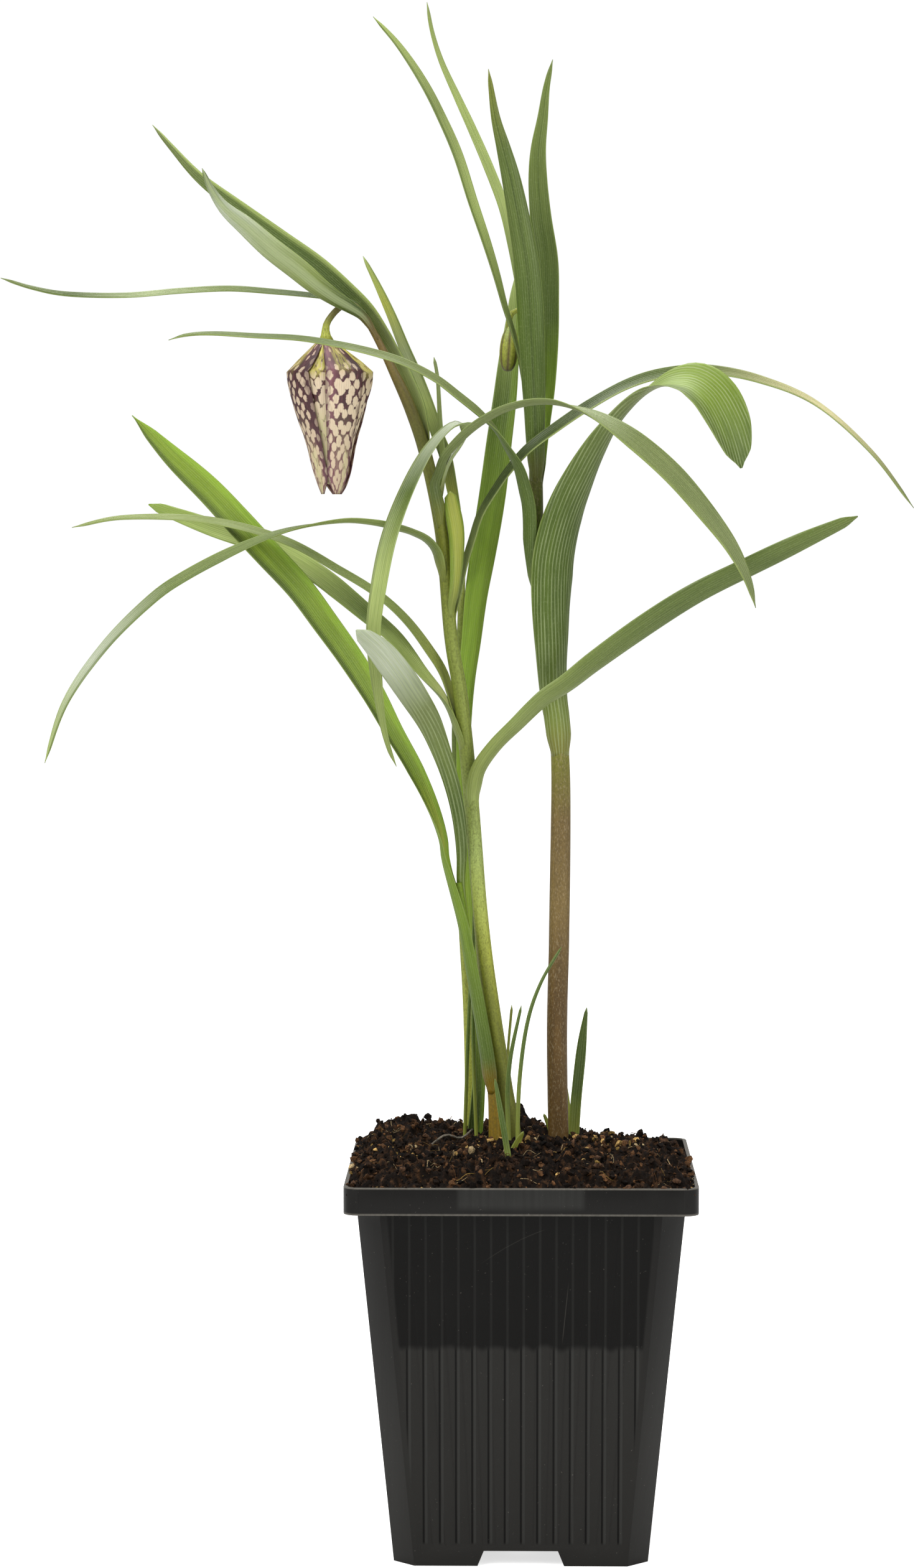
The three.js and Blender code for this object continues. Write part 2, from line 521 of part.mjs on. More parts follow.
const LEAVES_A = {
  leaf_a1: {
    stem: STEM_A, seats: [193, 196.5], azimuth: -52,
    route: [[-10.6, 0.2, 202.6], [-6.6, -1.2, 208.7], [-1.2, -2.4, 214.3], [5.6, -3.4, 220.9],
      [12.1, -4.2, 225.4], [19.6, -5, 231.4], [32.6, -8, 240.9], [45, -11, 248.9], [58, -13, 255.5],
      [71, -16, 261.9], [78.5, -17, 265.4], [86, -18, 268.8]],
    widths: [5.2, 6.2, 6.7, 6.6, 5.8, 5.2, 2.4],
    folds: [75, 34, 24, 20, 18, 16],
    faces: [[-0.5, 0.8, 0.5], [-0.35, 0.9, 0.35], [-0.25, 0.9, 0.3], [-0.15, 0.9, 0.3]],
  },
  leaf_a2: {
    stem: STEM_A, seats: [208, 211.5], azimuth: 200,
    route: [[-18.8, 2.2, 217], [-21.4, 1.6, 222], [-26.6, 1.2, 228.2], [-33.1, 1, 236.6],
      [-40.5, 1.5, 243.1], [-52.8, 2.5, 253.2], [-65, 4, 260.3], [-81, 5, 265.8], [-98, 7, 272.1]],
    widths: [5.6, 5.8, 6, 6, 5.7, 5, 2.6],
    folds: [62, 34, 26, 22, 18, 16],
    faces: [[0.5, -0.5, 0.5], [0.2, -0.8, 0.4], [0.2, -0.8, 0.4], [0.1, -0.8, 0.4]],
  },
  leaf_a3: {
    stem: STEM_A, seats: [216, 219.5], azimuth: 106,
    route: [[-20.6, 5.8, 227], [-24.8, 3, 234.2], [-30.5, -1, 242], [-37.5, -4, 248.5], [-47, -6, 254.5],
      [-62, -8, 262.7], [-81.5, -10, 267.8], [-102.5, -12, 268.5], [-116, -13, 266]],
    widths: [3.4, 3.3, 3.3, 3.2, 2.9, 2, 0.8],
    folds: [38, 28, 24, 20, 20],
    faces: [[0.4, -0.6, 0.6], [0.2, -0.6, 0.75], [0.1, -0.65, 0.75], [0, -0.7, 0.7]],
  },
  leaf_a4: {
    stem: STEM_A, seats: [247, 250.5], azimuth: 226,
    route: [[-22.3, -1, 258.5], [-24.5, -4, 262], [-27.5, -6.5, 264], [-31.5, -9, 265.4],
      [-38.5, -11, 267], [-47, -12.5, 267.4], [-60, -14, 265.2], [-73.4, -15, 260.2], [-86.8, -17, 253.2],
      [-95.5, -18, 247], [-107, -19, 235.5], [-117, -20, 221.2], [-122.6, -20, 205.5]],
    widths: [4, 3.4, 3.2, 3.3, 3.4, 3.1, 2.4, 0.9],
    folds: [50, 30, 24, 20, 20],
    faces: [[0.3, 0.3, 0.8], [0, -0.8, 0.6], [-0.35, -0.8, 0.5], [-0.55, -0.8, 0.25]],
  },
  leaf_a5: {
    stem: STEM_A, seats: [240.5, 244], azimuth: 30,
    route: [[-15.6, 5.2, 252], [-14.6, 5.4, 256.5], [-12.8, 5.4, 262.5], [-10.5, 5.2, 269.5],
      [-6.6, 4.6, 276], [-2.9, 3.6, 281.2], [2, 1.6, 286.5], [9, 1.6, 291.8], [18, 4, 297.9],
      [28, 8, 303.4], [37.5, 10, 306.3], [49, 11, 307.2], [62.5, 13, 304.8], [77.5, 15, 298.6],
      [92.3, 17, 285.9], [103.7, 18, 271.2]],
    widths: [3.2, 3.4, 3.8, 3.8, 3.6, 3, 2.2, 1.6, 0.9],
    folds: [48, 34, 28, 24, 22],
    faces: [[-0.7, -0.6, 0.4], [-0.5, -0.75, 0.4], [-0.35, -0.8, 0.5], [0, -0.65, 0.75],
      [0.4, -0.7, 0.6]],
    steps: 19,
  },
  leaf_a6: {
    stem: STEM_A, seats: [266, 270], azimuth: -96,
    route: [[-22.4, -3, 276.6], [-21.4, -5.4, 280], [-20, -8.6, 283.8], [-17.5, -12.6, 286.8],
      [-13.7, -16.4, 290.4], [-9.2, -18.8, 293.5], [-3.8, -20, 296.1], [3.5, -20.8, 297.6],
      [10.5, -21.2, 297], [19, -22, 293.8], [28.5, -23, 287.7], [38.1, -24.2, 279.4],
      [46.2, -25.5, 270.2], [53, -26, 261.2], [57.2, -26.5, 253], [59.5, -27, 245.5]],
    widths: [2.8, 3, 3.6, 5.2, 6.8, 7, 5.9, 4, 0.9],
    folds: [58, 36, 28, 24, 22, 20],
    faces: [[-0.3, 0.8, 0.4], [-0.3, 0.3, 0.9], [0.2, -0.7, 0.65], [0.3, -0.85, 0.4], [0.5, -0.8, 0.3]],
    steps: 20,
  },
  leaf_a7: {
    stem: STEM_A, seats: [272, 275.5], azimuth: -8,
    route: [[-19.8, -0.6, 280], [-18.2, -1.4, 283.8], [-15.6, -2.4, 287.6], [-14, -4, 291],
      [-15.2, -6, 292.7], [-18.2, -7.2, 291.9], [-21.9, -8.4, 288.3], [-25.2, -9.8, 283.6],
      [-28.7, -11.8, 276.8], [-32.1, -13.8, 268.6], [-34.6, -15.6, 260.6], [-36.7, -17.2, 250],
      [-37.9, -18, 240], [-37.4, -18, 229], [-35.9, -18, 217], [-34.2, -17.6, 209.5],
      [-32.2, -17, 204.5]],
    widths: [3.6, 4.4, 5, 5.2, 5, 4.4, 3.6, 2, 0.8],
    folds: [34, 30, 26, 24, 24],
    faces: [[-0.3, -0.3, 0.9], [-0.5, -0.7, 0.5], [-0.4, -0.9, 0.15], [-0.25, -0.95, 0.1],
      [-0.2, -1, 0.1]],
    steps: 22,
  },
  leaf_a8: {
    stem: STEM_A, seats: [285, 288], azimuth: 48,
    route: [[-25.4, 1.3, 294], [-26.4, 1.4, 298.5], [-28.7, 1.3, 304], [-31.3, 1, 309.4],
      [-34.9, 0.6, 315.5], [-39.4, 0.4, 321.5], [-45.2, 1.4, 327.2], [-52.9, 3, 334], [-63, 5, 341.3],
      [-73.4, 7, 348.9], [-84.2, 9, 357.3], [-91.6, 11, 365.2], [-97, 12, 371.5]],
    widths: [5, 5.2, 5.2, 4.9, 4.2, 2.6, 0.8],
    folds: [55, 32, 24, 20, 18],
    faces: [[-0.8, -0.4, 0.3], [-0.5, -0.8, 0.2], [-0.3, -0.9, 0], [-0.3, -0.9, -0.1]],
    steps: 18,
  },
  leaf_a9: {
    stem: STEM_A, seats: [314.6, 316.6], azimuth: -84,
    route: [[-41, -6.6, 320.4], [-44.4, -8.8, 322.7], [-47.9, -10.2, 324.7], [-52.3, -11.8, 327.7],
      [-57.8, -13.2, 332.2], [-64.3, -15, 337.2], [-70.4, -16.2, 342.6], [-76, -17.2, 347.4],
      [-79.5, -18.2, 352.4], [-81.6, -19, 357.4]],
    widths: [2.6, 4.2, 5.7, 6.1, 5.7, 4.6, 2.4, 0.8],
    folds: [30, 26, 22, 20],
    faces: [[-0.3, 0.8, 0.5], [-0.3, 0.8, 0.5], [-0.3, 0.8, 0.5]],
  },
  leaf_a10: {
    route: [[-40.4, -1.2, 320.8], [-43, -1.4, 323.8], [-46, -1.6, 324.8], [-50, -1.4, 325.5],
      [-55.5, -1, 326.2], [-64.5, 0, 327.1], [-76, 0, 327.9], [-88.5, -1, 327.3], [-103, -2, 326.1],
      [-118, -3, 326.4], [-127, -4, 328], [-135, -5, 330.5]],
    widths: [1.8, 2.1, 2.2, 2.1, 1.9, 1.7, 0.8],
    folds: [26, 24, 22],
    faces: [[0.2, -0.6, 0.7], [0, -0.75, 0.65], [0, -0.75, 0.65]],
    across: 2,
  },
  leaf_a11: {
    stem: STEM_A, seats: [242.5, 246], azimuth: -42,
    route: [[-16.9, -0.1, 253], [-16.6, 0, 259], [-16.7, 0, 264.5], [-17.6, 0, 270], [-18.7, 0, 275.4]],
    widths: [3.2, 3.6, 4, 4, 2.2],
    folds: [32, 36, 34, 30],
    faces: [[-0.6, 0.8, 0], [-0.5, 0.85, 0], [-0.4, 0.9, 0]],
    steps: 8,
  },
  leaf_a12: {
    stem: STEM_A, seats: [269, 271.5], azimuth: 82,
    route: [[-20.9, 4.6, 277], [-20.5, 5, 282], [-20.9, 5.2, 287.5], [-21.4, 5.2, 293.5],
      [-22, 5.4, 304.5], [-23, 5.8, 310.5]],
    widths: [1.4, 1.5, 1.4, 1.2, 1, 0.8],
    folds: [24, 24],
    faces: [[0.2, -1, 0], [0.2, -1, 0]],
    steps: 8, across: 2,
  },
};

// Leaves on the brown stem at the right

const LEAVES_B = {
  leaf_b1: {
    stem: STEM_B, seats: [206, 209, 212.5, 217, 222.5], azimuth: -64,
    route: [[9.5, 4, 235], [9.2, 3.6, 246], [9.5, 3.2, 256], [10.9, 2.8, 264], [13.2, 2.4, 271.3],
      [16, 2, 277.7], [19.8, 1, 285.2], [24, 0, 292.3], [28.6, -1.2, 297.7], [33.3, -2.2, 301.4],
      [38.6, -4, 303.6], [44.2, -6, 303.4], [48.8, -8, 300], [52.1, -9.5, 294.6], [54.3, -10.5, 288.9],
      [56.5, -11, 281.2]],
    widths: [12, 12.6, 13.6, 14.4, 14, 12.4, 10, 7, 9.5, 14, 13, 5.5],
    folds: [118, 98, 74, 60, 55, 60, 55, 30, 24, 20],
    faces: [[-0.5, 0.85, 0], [-0.4, 0.9, 0], [-0.5, 0.8, 0.2], [-0.5, 0.4, 0.7], [0.2, -0.8, 0.55],
      [0.5, -0.8, 0.2]],
    steps: 26, across: 6,
  },
  leaf_b2: {
    stem: STEM_B, seats: [248, 252], azimuth: 205,
    route: [[1.4, 5.8, 261], [1.4, 4.4, 265.5], [1.2, 3, 271.5], [0, 1, 277], [-1.5, -1.2, 281.8],
      [-4, -4, 286.1], [-7, -6.4, 291], [-11, -8.4, 295], [-16.5, -10.2, 299.5], [-22.4, -12, 304],
      [-30.2, -14, 308], [-38, -16, 310.5], [-47, -18, 312.5], [-57, -21, 314], [-68, -24, 314.5],
      [-78.5, -26.5, 315], [-85, -28, 314.6], [-89.5, -29, 313.3]],
    widths: [6, 5, 4.7, 4.2, 3.5, 3, 2.6, 2.2, 1.8, 0.8],
    folds: [66, 46, 36, 30, 26, 24],
    faces: [[0.5, 0.6, 0.6], [0.4, -0.5, 0.75], [0.25, -0.7, 0.7], [0, -0.65, 0.75], [-0.1, -0.65, 0.75]],
    steps: 19,
  },
  leaf_b3: {
    stem: STEM_B, seats: [295, 298], azimuth: 186,
    route: [[0, 8, 305.5], [-1, 6.6, 311], [-2.4, 4.4, 316.5], [-4.6, 1.2, 323], [-7, -1.8, 331.5],
      [-9.7, -4.2, 340], [-13.1, -7, 350], [-16.7, -9.2, 361.4], [-20.6, -11.4, 370.4],
      [-25.2, -13.4, 379.3], [-31.4, -14.8, 388.6], [-38, -16, 396]],
    widths: [2.8, 3.4, 3.9, 3.7, 3.1, 2.4, 0.8],
    folds: [30, 34, 34, 30, 24],
    faces: [[0.7, -0.5, 0.3], [0.6, -0.8, 0.1], [0.5, -0.9, 0.1]],
    steps: 12,
  },
  leaf_b4: {
    stem: STEM_B, seats: [296, 299], azimuth: 128,
    route: [[1, 13, 308], [0.8, 13.2, 318], [-0.7, 12.4, 329.5], [-2.7, 11.2, 340.5], [-5, 10.2, 350],
      [-9, 9.4, 360.4], [-13.2, 8.6, 370], [-17, 8, 378.2], [-21.1, 7.4, 387.3], [-23.5, 6.8, 395],
      [-24.8, 6.2, 402.5]],
    widths: [2.4, 2.6, 3, 3, 2.5, 1.6, 0.8],
    folds: [24, 26, 26, 24],
    faces: [[0.4, -0.9, 0.1], [0.4, -0.9, 0.1], [0.4, -0.9, 0.1]],
    steps: 12,
  },
  leaf_b5: {
    stem: STEM_B, seats: [278, 282], azimuth: -82,
    route: [[3.6, 5.4, 290], [3.4, 4, 297], [3, 2, 305], [2.6, 0.6, 314], [2.1, 0.2, 324], [1.1, 0, 335],
      [-0.8, 0, 346], [-2.8, -0.5, 356], [-4.8, -1, 364], [-6.8, -2, 371.5], [-8, -2.5, 379],
      [-8.7, -3, 384.2]],
    widths: [5.8, 6.8, 7.4, 7.2, 6.2, 4.9, 2.6, 0.7],
    folds: [58, 44, 38, 34, 28],
    faces: [[0, 1, 0.1], [0, 1, 0.1], [0.1, 1, 0]],
  },
  leaf_b6: {
    stem: STEM_B, seats: [276.5, 280], azimuth: 56,
    route: [[5.2, 13.8, 287], [5.6, 14.8, 294], [6.2, 15.8, 303], [6.4, 16.6, 313], [6.5, 17, 324.5],
      [6.5, 17, 336], [5, 17, 347.5], [4.2, 17, 357.5], [4.3, 16.5, 365.5], [5.4, 16, 373.5],
      [6.4, 15.5, 381.5], [8, 15, 388.7]],
    widths: [5, 6.5, 7.4, 6.9, 6, 4.8, 2.7, 0.8],
    folds: [46, 36, 32, 28, 24],
    faces: [[-0.2, -1, 0], [-0.1, -1, 0], [0, -1, 0]],
  },
};

// Leaves of the other two bulbs

const LEAVES_CD = {
  leaf_c1: {
    stem: STEM_C, seats: [117, 128, 140, 152, 163], azimuth: 196,
    route: [[-20.4, 0, 178], [-21.3, -0.4, 184.8], [-24, -0.9, 193.3], [-28.4, -1.4, 203.2],
      [-33.9, -1.8, 213], [-39, -2.2, 222.5], [-45, -2.7, 232], [-51.4, -3.2, 241], [-58, -3.6, 250],
      [-65.9, -4, 258.6], [-73.6, -4.5, 267], [-81.7, -5, 275.7], [-91.5, -5.5, 285], [-101, -6, 295]],
    widths: [8.6, 8.2, 6.8, 5.7, 5.8, 7.2, 7.8, 8, 8.2, 6.7, 1.6],
    folds: [132, 118, 96, 48, 36, 32, 30, 28, 26, 24],
    faces: [[0.9, 0.1, 0.1], [0.9, 0, 0.2], [0.5, -0.8, 0.3], [0.35, -0.85, 0.3], [0.3, -0.9, 0.3],
      [0.3, -0.9, 0.3], [0.3, -0.9, 0.3]],
    steps: 26, across: 6,
  },
  leaf_c2: {
    route: [[-15.6, 1.9, 174.2], [-15.3, 1.2, 180], [-15.7, -0.2, 186.5], [-16.7, -2.6, 193],
      [-18.3, -6, 200], [-20.7, -10, 207.7], [-23.7, -14, 215.3], [-27.7, -18, 222.2],
      [-31.8, -21.8, 228.5], [-36.8, -25.8, 235], [-42, -29.4, 239.9]],
    widths: [3.4, 4, 4.2, 4.8, 5.9, 7.4, 8, 7.2, 3.6],
    folds: [70, 60, 44, 36, 32, 30],
    faces: [[-0.6, 0.6, 0.3], [-0.2, 0.8, 0.5], [-0.1, 0.85, 0.5], [-0.1, 0.85, 0.5]],
  },
  leaf_d1: {
    route: [[-17.2, 12.5, 270.6], [-18.2, 12.8, 276], [-20, 13, 285], [-22.1, 13.5, 290.5],
      [-24.2, 14, 297], [-27.2, 14.5, 305], [-30.8, 15, 313.2], [-34.3, 16, 321.8], [-38, 17, 329.8],
      [-42, 18, 337.6]],
    widths: [2.8, 3.6, 3.6, 3.4, 3, 2.2, 0.8],
    folds: [30, 28, 26],
    faces: [[-0.3, -0.9, -0.1], [-0.3, -0.9, -0.1], [-0.3, -0.9, -0.1]],
    steps: 12,
  },
  leaf_basal: {
    route: [[-12.9, 20.4, 72], [-12.7, 20, 99.5], [-12, 19.6, 112], [-11.7, 19.4, 124.5],
      [-12.7, 19.2, 144.5], [-14.1, 19.2, 162], [-15, 19.4, 180], [-15.5, 19.6, 198], [-15.4, 19.8, 212],
      [-14.7, 20, 225], [-13.4, 20.4, 236], [-12.1, 20.8, 248], [-10.5, 21.2, 258], [-7.9, 21.8, 274],
      [-6, 22.4, 289], [-4.5, 23, 300.5], [-3.5, 23.4, 310.5], [-2.5, 24, 320], [-2, 24.5, 328.5],
      [-1.4, 25, 335]],
    widths: [2.6, 3.6, 4, 3.7, 3.4, 3.5, 4.1, 5.5, 6.9, 6.2, 4.6, 0.9],
    folds: [34, 34, 30, 26, 24],
    faces: [[0, -1, 0], [0, -1, 0], [0, -1, 0]],
    steps: 19,
  },
};

// Young shoots standing in the soil around the stems

const SHOOTS = {
  shoot_1: {
    route: [[-2.4, -22, 94], [-3, -22, 101.5], [-4, -21, 108], [-5.4, -20, 116], [-6.8, -19, 124]],
    width: 1.6,
  },
  shoot_2: {
    route: [[-3, -8, 96], [-3.1, -7, 104], [-3.6, -6, 117], [-2.8, -6, 128], [0, -6, 141.5]],
    width: 1.2,
  },
  shoot_3: { route: [[-4.8, 14, 97], [-4.2, 13.4, 110], [-3.6, 13, 126], [-2.5, 13, 139.5]], width: 0.8 },
  shoot_4: {
    route: [[-1, -9, 96], [-1, -8, 105], [-0.5, -7, 121.5], [1.5, -5, 136.5], [5, -3.5, 147], [10.5, -2, 156.5]],
    width: 1.1,
  },
  shoot_5: { route: [[-3.2, -12, 97], [-2.2, -12.6, 103.5], [-1, -13, 106.5], [0.6, -13.5, 109.5]], width: 2 },
  shoot_6: {
    route: [[13.3, 18.6, 94], [13.5, 19, 103], [14, 19.5, 112], [15, 20, 122], [16, 20.5, 131], [17, 21, 138]],
    width: 2.6,
  },
  shoot_7: { route: [[8.6, 17.2, 97], [8.2, 17, 104], [6, 16.5, 110]], width: 1.4 },
  shoot_8: { route: [[13.2, 26, 96], [13.2, 26, 104], [12.8, 26, 110], [12, 26, 116.5]], width: 1.1 },
  shoot_9: { route: [[-11.6, 12, 96], [-12, 11.6, 106], [-12.8, 10.4, 135], [-12.6, 9.2, 165.5]], width: 1 },
  shoot_10: { route: [[-15.2, 14.4, 96], [-15, 14, 106], [-14, 13, 135], [-13, 12.4, 158.5]], width: 1 },
};

function shootBlade({ route, width }) {
  return {
    route,
    widths: [width * 0.8, width, width, width * 0.9, 0.7],
    folds: [30, 26],
    faces: [[0.2, -1, 0], [0.2, -1, 0]],
    steps: 6,
    across: 2,
  };
}

// Flower

// Distance from the bell's axis and depth below its top, from the stalk to the tips
const BELL = [[2.6, 0.5], [5.6, 3], [8.7, 6], [11.3, 9], [11.2, 11.8], [10.5, 15.2], [9.6, 18.7], [8.5, 22],
  [7.3, 25.3], [6.4, 28.5], [5.7, 31.8], [4.9, 35], [3.9, 38.2], [3, 40.6]];
const TEPAL_HALF_WIDTHS = [1, 2.6, 4.2, 5.2, 5.5, 5.4, 5.1, 4.7, 4.2, 3.7, 3.2, 2.6, 1.7, 0.6];
// Each tepal faces a way (degrees) and is spread wider or narrower than those half widths
const OUTER_TEPALS = [
  { facing: -66, spread: 0.95 },
  { facing: 68, spread: 1.5 },
  { facing: 198, spread: 1.55 },
];
const INNER_TEPALS = [{ facing: -8, spread: 1.35 }, { facing: 134, spread: 1.2 }, { facing: 254, spread: 1 }];

// How far a tepal lies inside the bell's surface. An inner one bulges level with the outer ones
// in the middle of the shoulder, tucks its edges under them, and lies wholly inside lower down.
function tepalSetback(layer, row, share) {
  const lower = THREE.MathUtils.smoothstep(row, 4, 7);
  const tucked = TEPAL_TUCK * Math.abs(share) ** 0.6;
  return layer * THREE.MathUtils.lerp(tucked, TEPAL_LAYER, lower);
}

// A tepal is a slice of the bell, thin and arched
function tepalGeometry({ facing, spread }, layer) {
  const across = 4;
  const rows = BELL.length - 1 - layer;
  const rings = [];
  for (let row = 0; row <= rows; row += 1) {
    const [out, depth] = BELL[row];
    const before = BELL[Math.max(row - 1, 0)];
    const after = BELL[Math.min(row + 1, BELL.length - 1)];
    const slope = new THREE.Vector2(after[0] - before[0], after[1] - before[1]).normalize();
    const halfWidth = spread * TEPAL_HALF_WIDTHS[row];
    const face = [];
    const back = [];
    for (let column = 0; column <= across; column += 1) {
      const share = (column / across - 0.5) * 2;
      const swing = degrees(facing) + (share * halfWidth) / out;
      for (const [list, inset] of [[face, 0], [back, TEPAL]]) {
        const offset = tepalSetback(layer, row, share) + inset;
        const reach = out - offset * slope.y;
        const drop = depth + offset * slope.x;
        list.push(new THREE.Vector3(
          FLOWER_TOP.x + BELL_LEAN * drop + reach * Math.cos(swing),
          FLOWER_TOP.y + reach * Math.sin(swing),
          FLOWER_TOP.z - drop,
        ));
      }
    }
    rings.push([...back, ...face.reverse()]);
  }
  return skinRings(rings, across + 1);
}

// The ovary with its style and three stigma arms
function makePistil() {
  const outline = [[0, -0.6], [1, -0.6], [1.3, -2.5], [1.3, -8], [0.6, -9.2], [0.5, -23], [0, -23.4]];
  const column = new THREE.LatheGeometry(outline.map(([x, y]) => new THREE.Vector2(x, y)).reverse(), 8);
  let pistil = solidOf(column);
  for (let arm = 0; arm < 3; arm += 1) {
    const lobe = new THREE.CylinderGeometry(0.4, 0.35, 5, 6);
    lobe.translate(0, -2.3, 0);
    lobe.rotateZ(degrees(16));
    lobe.translate(0, -22, 0);
    lobe.rotateY((arm * 2 * Math.PI) / 3);
    pistil = pistil.add(solidOf(lobe));
  }
  const geometry = geometryOf(pistil);
  geometry.rotateX(Math.PI / 2);
  geometry.translate(FLOWER_TOP.x, FLOWER_TOP.y, FLOWER_TOP.z);
  return geometry;
}

// Six stamens on one collar round the ovary
function makeStamens() {
  const collar = [[1.65, -3], [2.3, -3], [2.3, -3.9], [1.65, -3.9], [1.65, -3]];
  let stamens = solidOf(new THREE.LatheGeometry(collar.map(([x, y]) => new THREE.Vector2(x, y)).reverse(), 12));
  for (let stamen = 0; stamen < 6; stamen += 1) {
    const filament = new THREE.CylinderGeometry(0.35, 0.35, 13, 4);
    filament.translate(2, -9.5, 0);
    const anther = new THREE.SphereGeometry(1, 5, 4);
    anther.scale(0.6, 3, 0.6);
    anther.translate(2, -17, 0);
    const one = solidOf(filament).add(solidOf(anther));
    stamens = stamens.add(one.rotate([0, stamen * 60, 0]));
  }
  const geometry = geometryOf(stamens);
  geometry.rotateX(Math.PI / 2);
  geometry.translate(FLOWER_TOP.x, FLOWER_TOP.y, FLOWER_TOP.z);
  return geometry;
}

// The closed bud, hanging from an arched stalk on top of the brown stem
function makeBud() {
  const stalk = {
    curve: curveThrough([
      [3.1, 9.6, 304.4], [3, 10, 309], [2.2, 10.6, 316], [0.4, 10.4, 321.4], [-1.6, 10, 322.8], [-3.2, 9.6, 321],
      [-3.5, 9.4, 317],
    ]),
    radii: [0.9, 0.7, 0.7, 0.7, 0.8],
    steps: 12,
    sides: 8,
  };
  const outline = [[0, -5.4], [1.1, -5.1], [2, -3.6], [2.45, -0.6], [2.2, 2.6], [1.5, 4.6], [0.8, 5.6], [0, 5.8]];
  const bud = new THREE.LatheGeometry(outline.map(([x, y]) => new THREE.Vector2(x, y * 1.06)), 10);
  bud.rotateX(Math.PI / 2);
  bud.rotateY(degrees(4));
  bud.translate(-3, 9.2, 312.6);
  return geometryOf(solidOf(stemGeometry(stalk)).add(solidOf(bud)));
}

// Assembly

const group = new THREE.Group();

function addPiece(name, geometry, colour) {
  const finish = COLOURS[colour];
  const material = new THREE.MeshStandardMaterial({ color: finish.color, roughness: finish.roughness, metalness: 0 });
  const mesh = new THREE.Mesh(geometry, material);
  mesh.name = name;
  group.add(mesh);
}

// A round hole that a flat blade stands in
function bladeHole(route, radius) {
  const low = route.filter((point) => point[2] < SOIL_LEVEL + 16);
  return stemGeometry({ curve: curveThrough(low), radii: [radius, radius], steps: 3, sides: 6 });
}

const holes = [
  ...Object.values(STEMS).map((stem) => stemGeometry(stem, FIT)),
  ...Object.values(BULBS).map((bulb) => bulbGeometry(bulb, FIT)),
  bladeHole(LEAVES_CD.leaf_basal.route, 2.4),
  ...Object.values(SHOOTS).map(({ route, width }) => bladeHole(route, width / 2 + 0.7)),
];

addPiece("pot", makePot(), "plastic");
addPiece("soil", makeSoil(holes), "soil");
for (const [name, bulb] of Object.entries(BULBS)) addPiece(name, geometryOf(solidOf(bulbGeometry(bulb))), "bulb");
for (const [name, stem] of Object.entries(STEMS)) addPiece(name, stemGeometry(stem), "stem");
for (const leaves of [LEAVES_A, LEAVES_B, LEAVES_CD]) {
  for (const [name, leaf] of Object.entries(leaves)) addPiece(name, bladeGeometry(leaf), "leaf");
}
for (const [name, shoot] of Object.entries(SHOOTS)) addPiece(name, bladeGeometry(shootBlade(shoot)), "leafPale");
OUTER_TEPALS.forEach((tepal, which) => addPiece(`tepal_outer_${which + 1}`, tepalGeometry(tepal, 0), "tepal"));
INNER_TEPALS.forEach((tepal, which) => addPiece(`tepal_inner_${which + 1}`, tepalGeometry(tepal, 1), "tepal"));
addPiece("pistil", makePistil(), "heart");
addPiece("stamens", makeStamens(), "heart");
addPiece("bud", makeBud(), "heart");

// The whole stands centred over the origin, which lies on the surface that the pot rests on
const bounds = new THREE.Box3().setFromObject(group);
const middle = bounds.getCenter(new THREE.Vector3());
group.position.set(-middle.x, -middle.y, -bounds.min.z);

export default group;
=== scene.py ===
"""Potted snake's head fritillary, dressed for a soft white studio.

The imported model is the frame. Blades, stems, bell, bud, pot and soil are modelled again over
their solids with finer meshes and procedural finishes, in the places that the solids hold.
Plant places are in millimetres from the pot's centre line, with Z from the pot's foot.
"""

from __future__ import annotations

import bisect
import logging
import math
import random
from dataclasses import dataclass
from enum import Enum
from functools import partial
from typing import Any, Callable, Sequence

import bmesh
import bpy
from mathutils import Matrix, Vector, noise

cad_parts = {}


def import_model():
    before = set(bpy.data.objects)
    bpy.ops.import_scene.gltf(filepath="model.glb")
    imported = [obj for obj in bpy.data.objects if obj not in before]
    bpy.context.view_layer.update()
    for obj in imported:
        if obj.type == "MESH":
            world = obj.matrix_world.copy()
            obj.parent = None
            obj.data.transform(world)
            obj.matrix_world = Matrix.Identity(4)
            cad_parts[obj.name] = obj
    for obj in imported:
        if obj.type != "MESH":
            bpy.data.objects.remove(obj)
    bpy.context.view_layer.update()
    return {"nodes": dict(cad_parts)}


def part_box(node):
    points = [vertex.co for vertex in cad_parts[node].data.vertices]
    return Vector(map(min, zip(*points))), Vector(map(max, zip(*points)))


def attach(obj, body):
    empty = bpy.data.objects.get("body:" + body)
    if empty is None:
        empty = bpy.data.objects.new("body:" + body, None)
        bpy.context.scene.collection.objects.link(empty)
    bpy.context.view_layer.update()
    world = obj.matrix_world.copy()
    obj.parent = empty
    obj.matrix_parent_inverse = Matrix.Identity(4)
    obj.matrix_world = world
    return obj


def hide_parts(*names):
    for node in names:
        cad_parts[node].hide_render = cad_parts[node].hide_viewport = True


LOG = logging.getLogger("fritillary")
BODY = "root"
MM = 0.001
TURN = 2 * math.pi
FIT = 0.3  # clearance between a leaf's foot and its stem, in millimetres
BLADE = 0.6  # a leaf's thickness in millimetres

Point = Sequence[float]


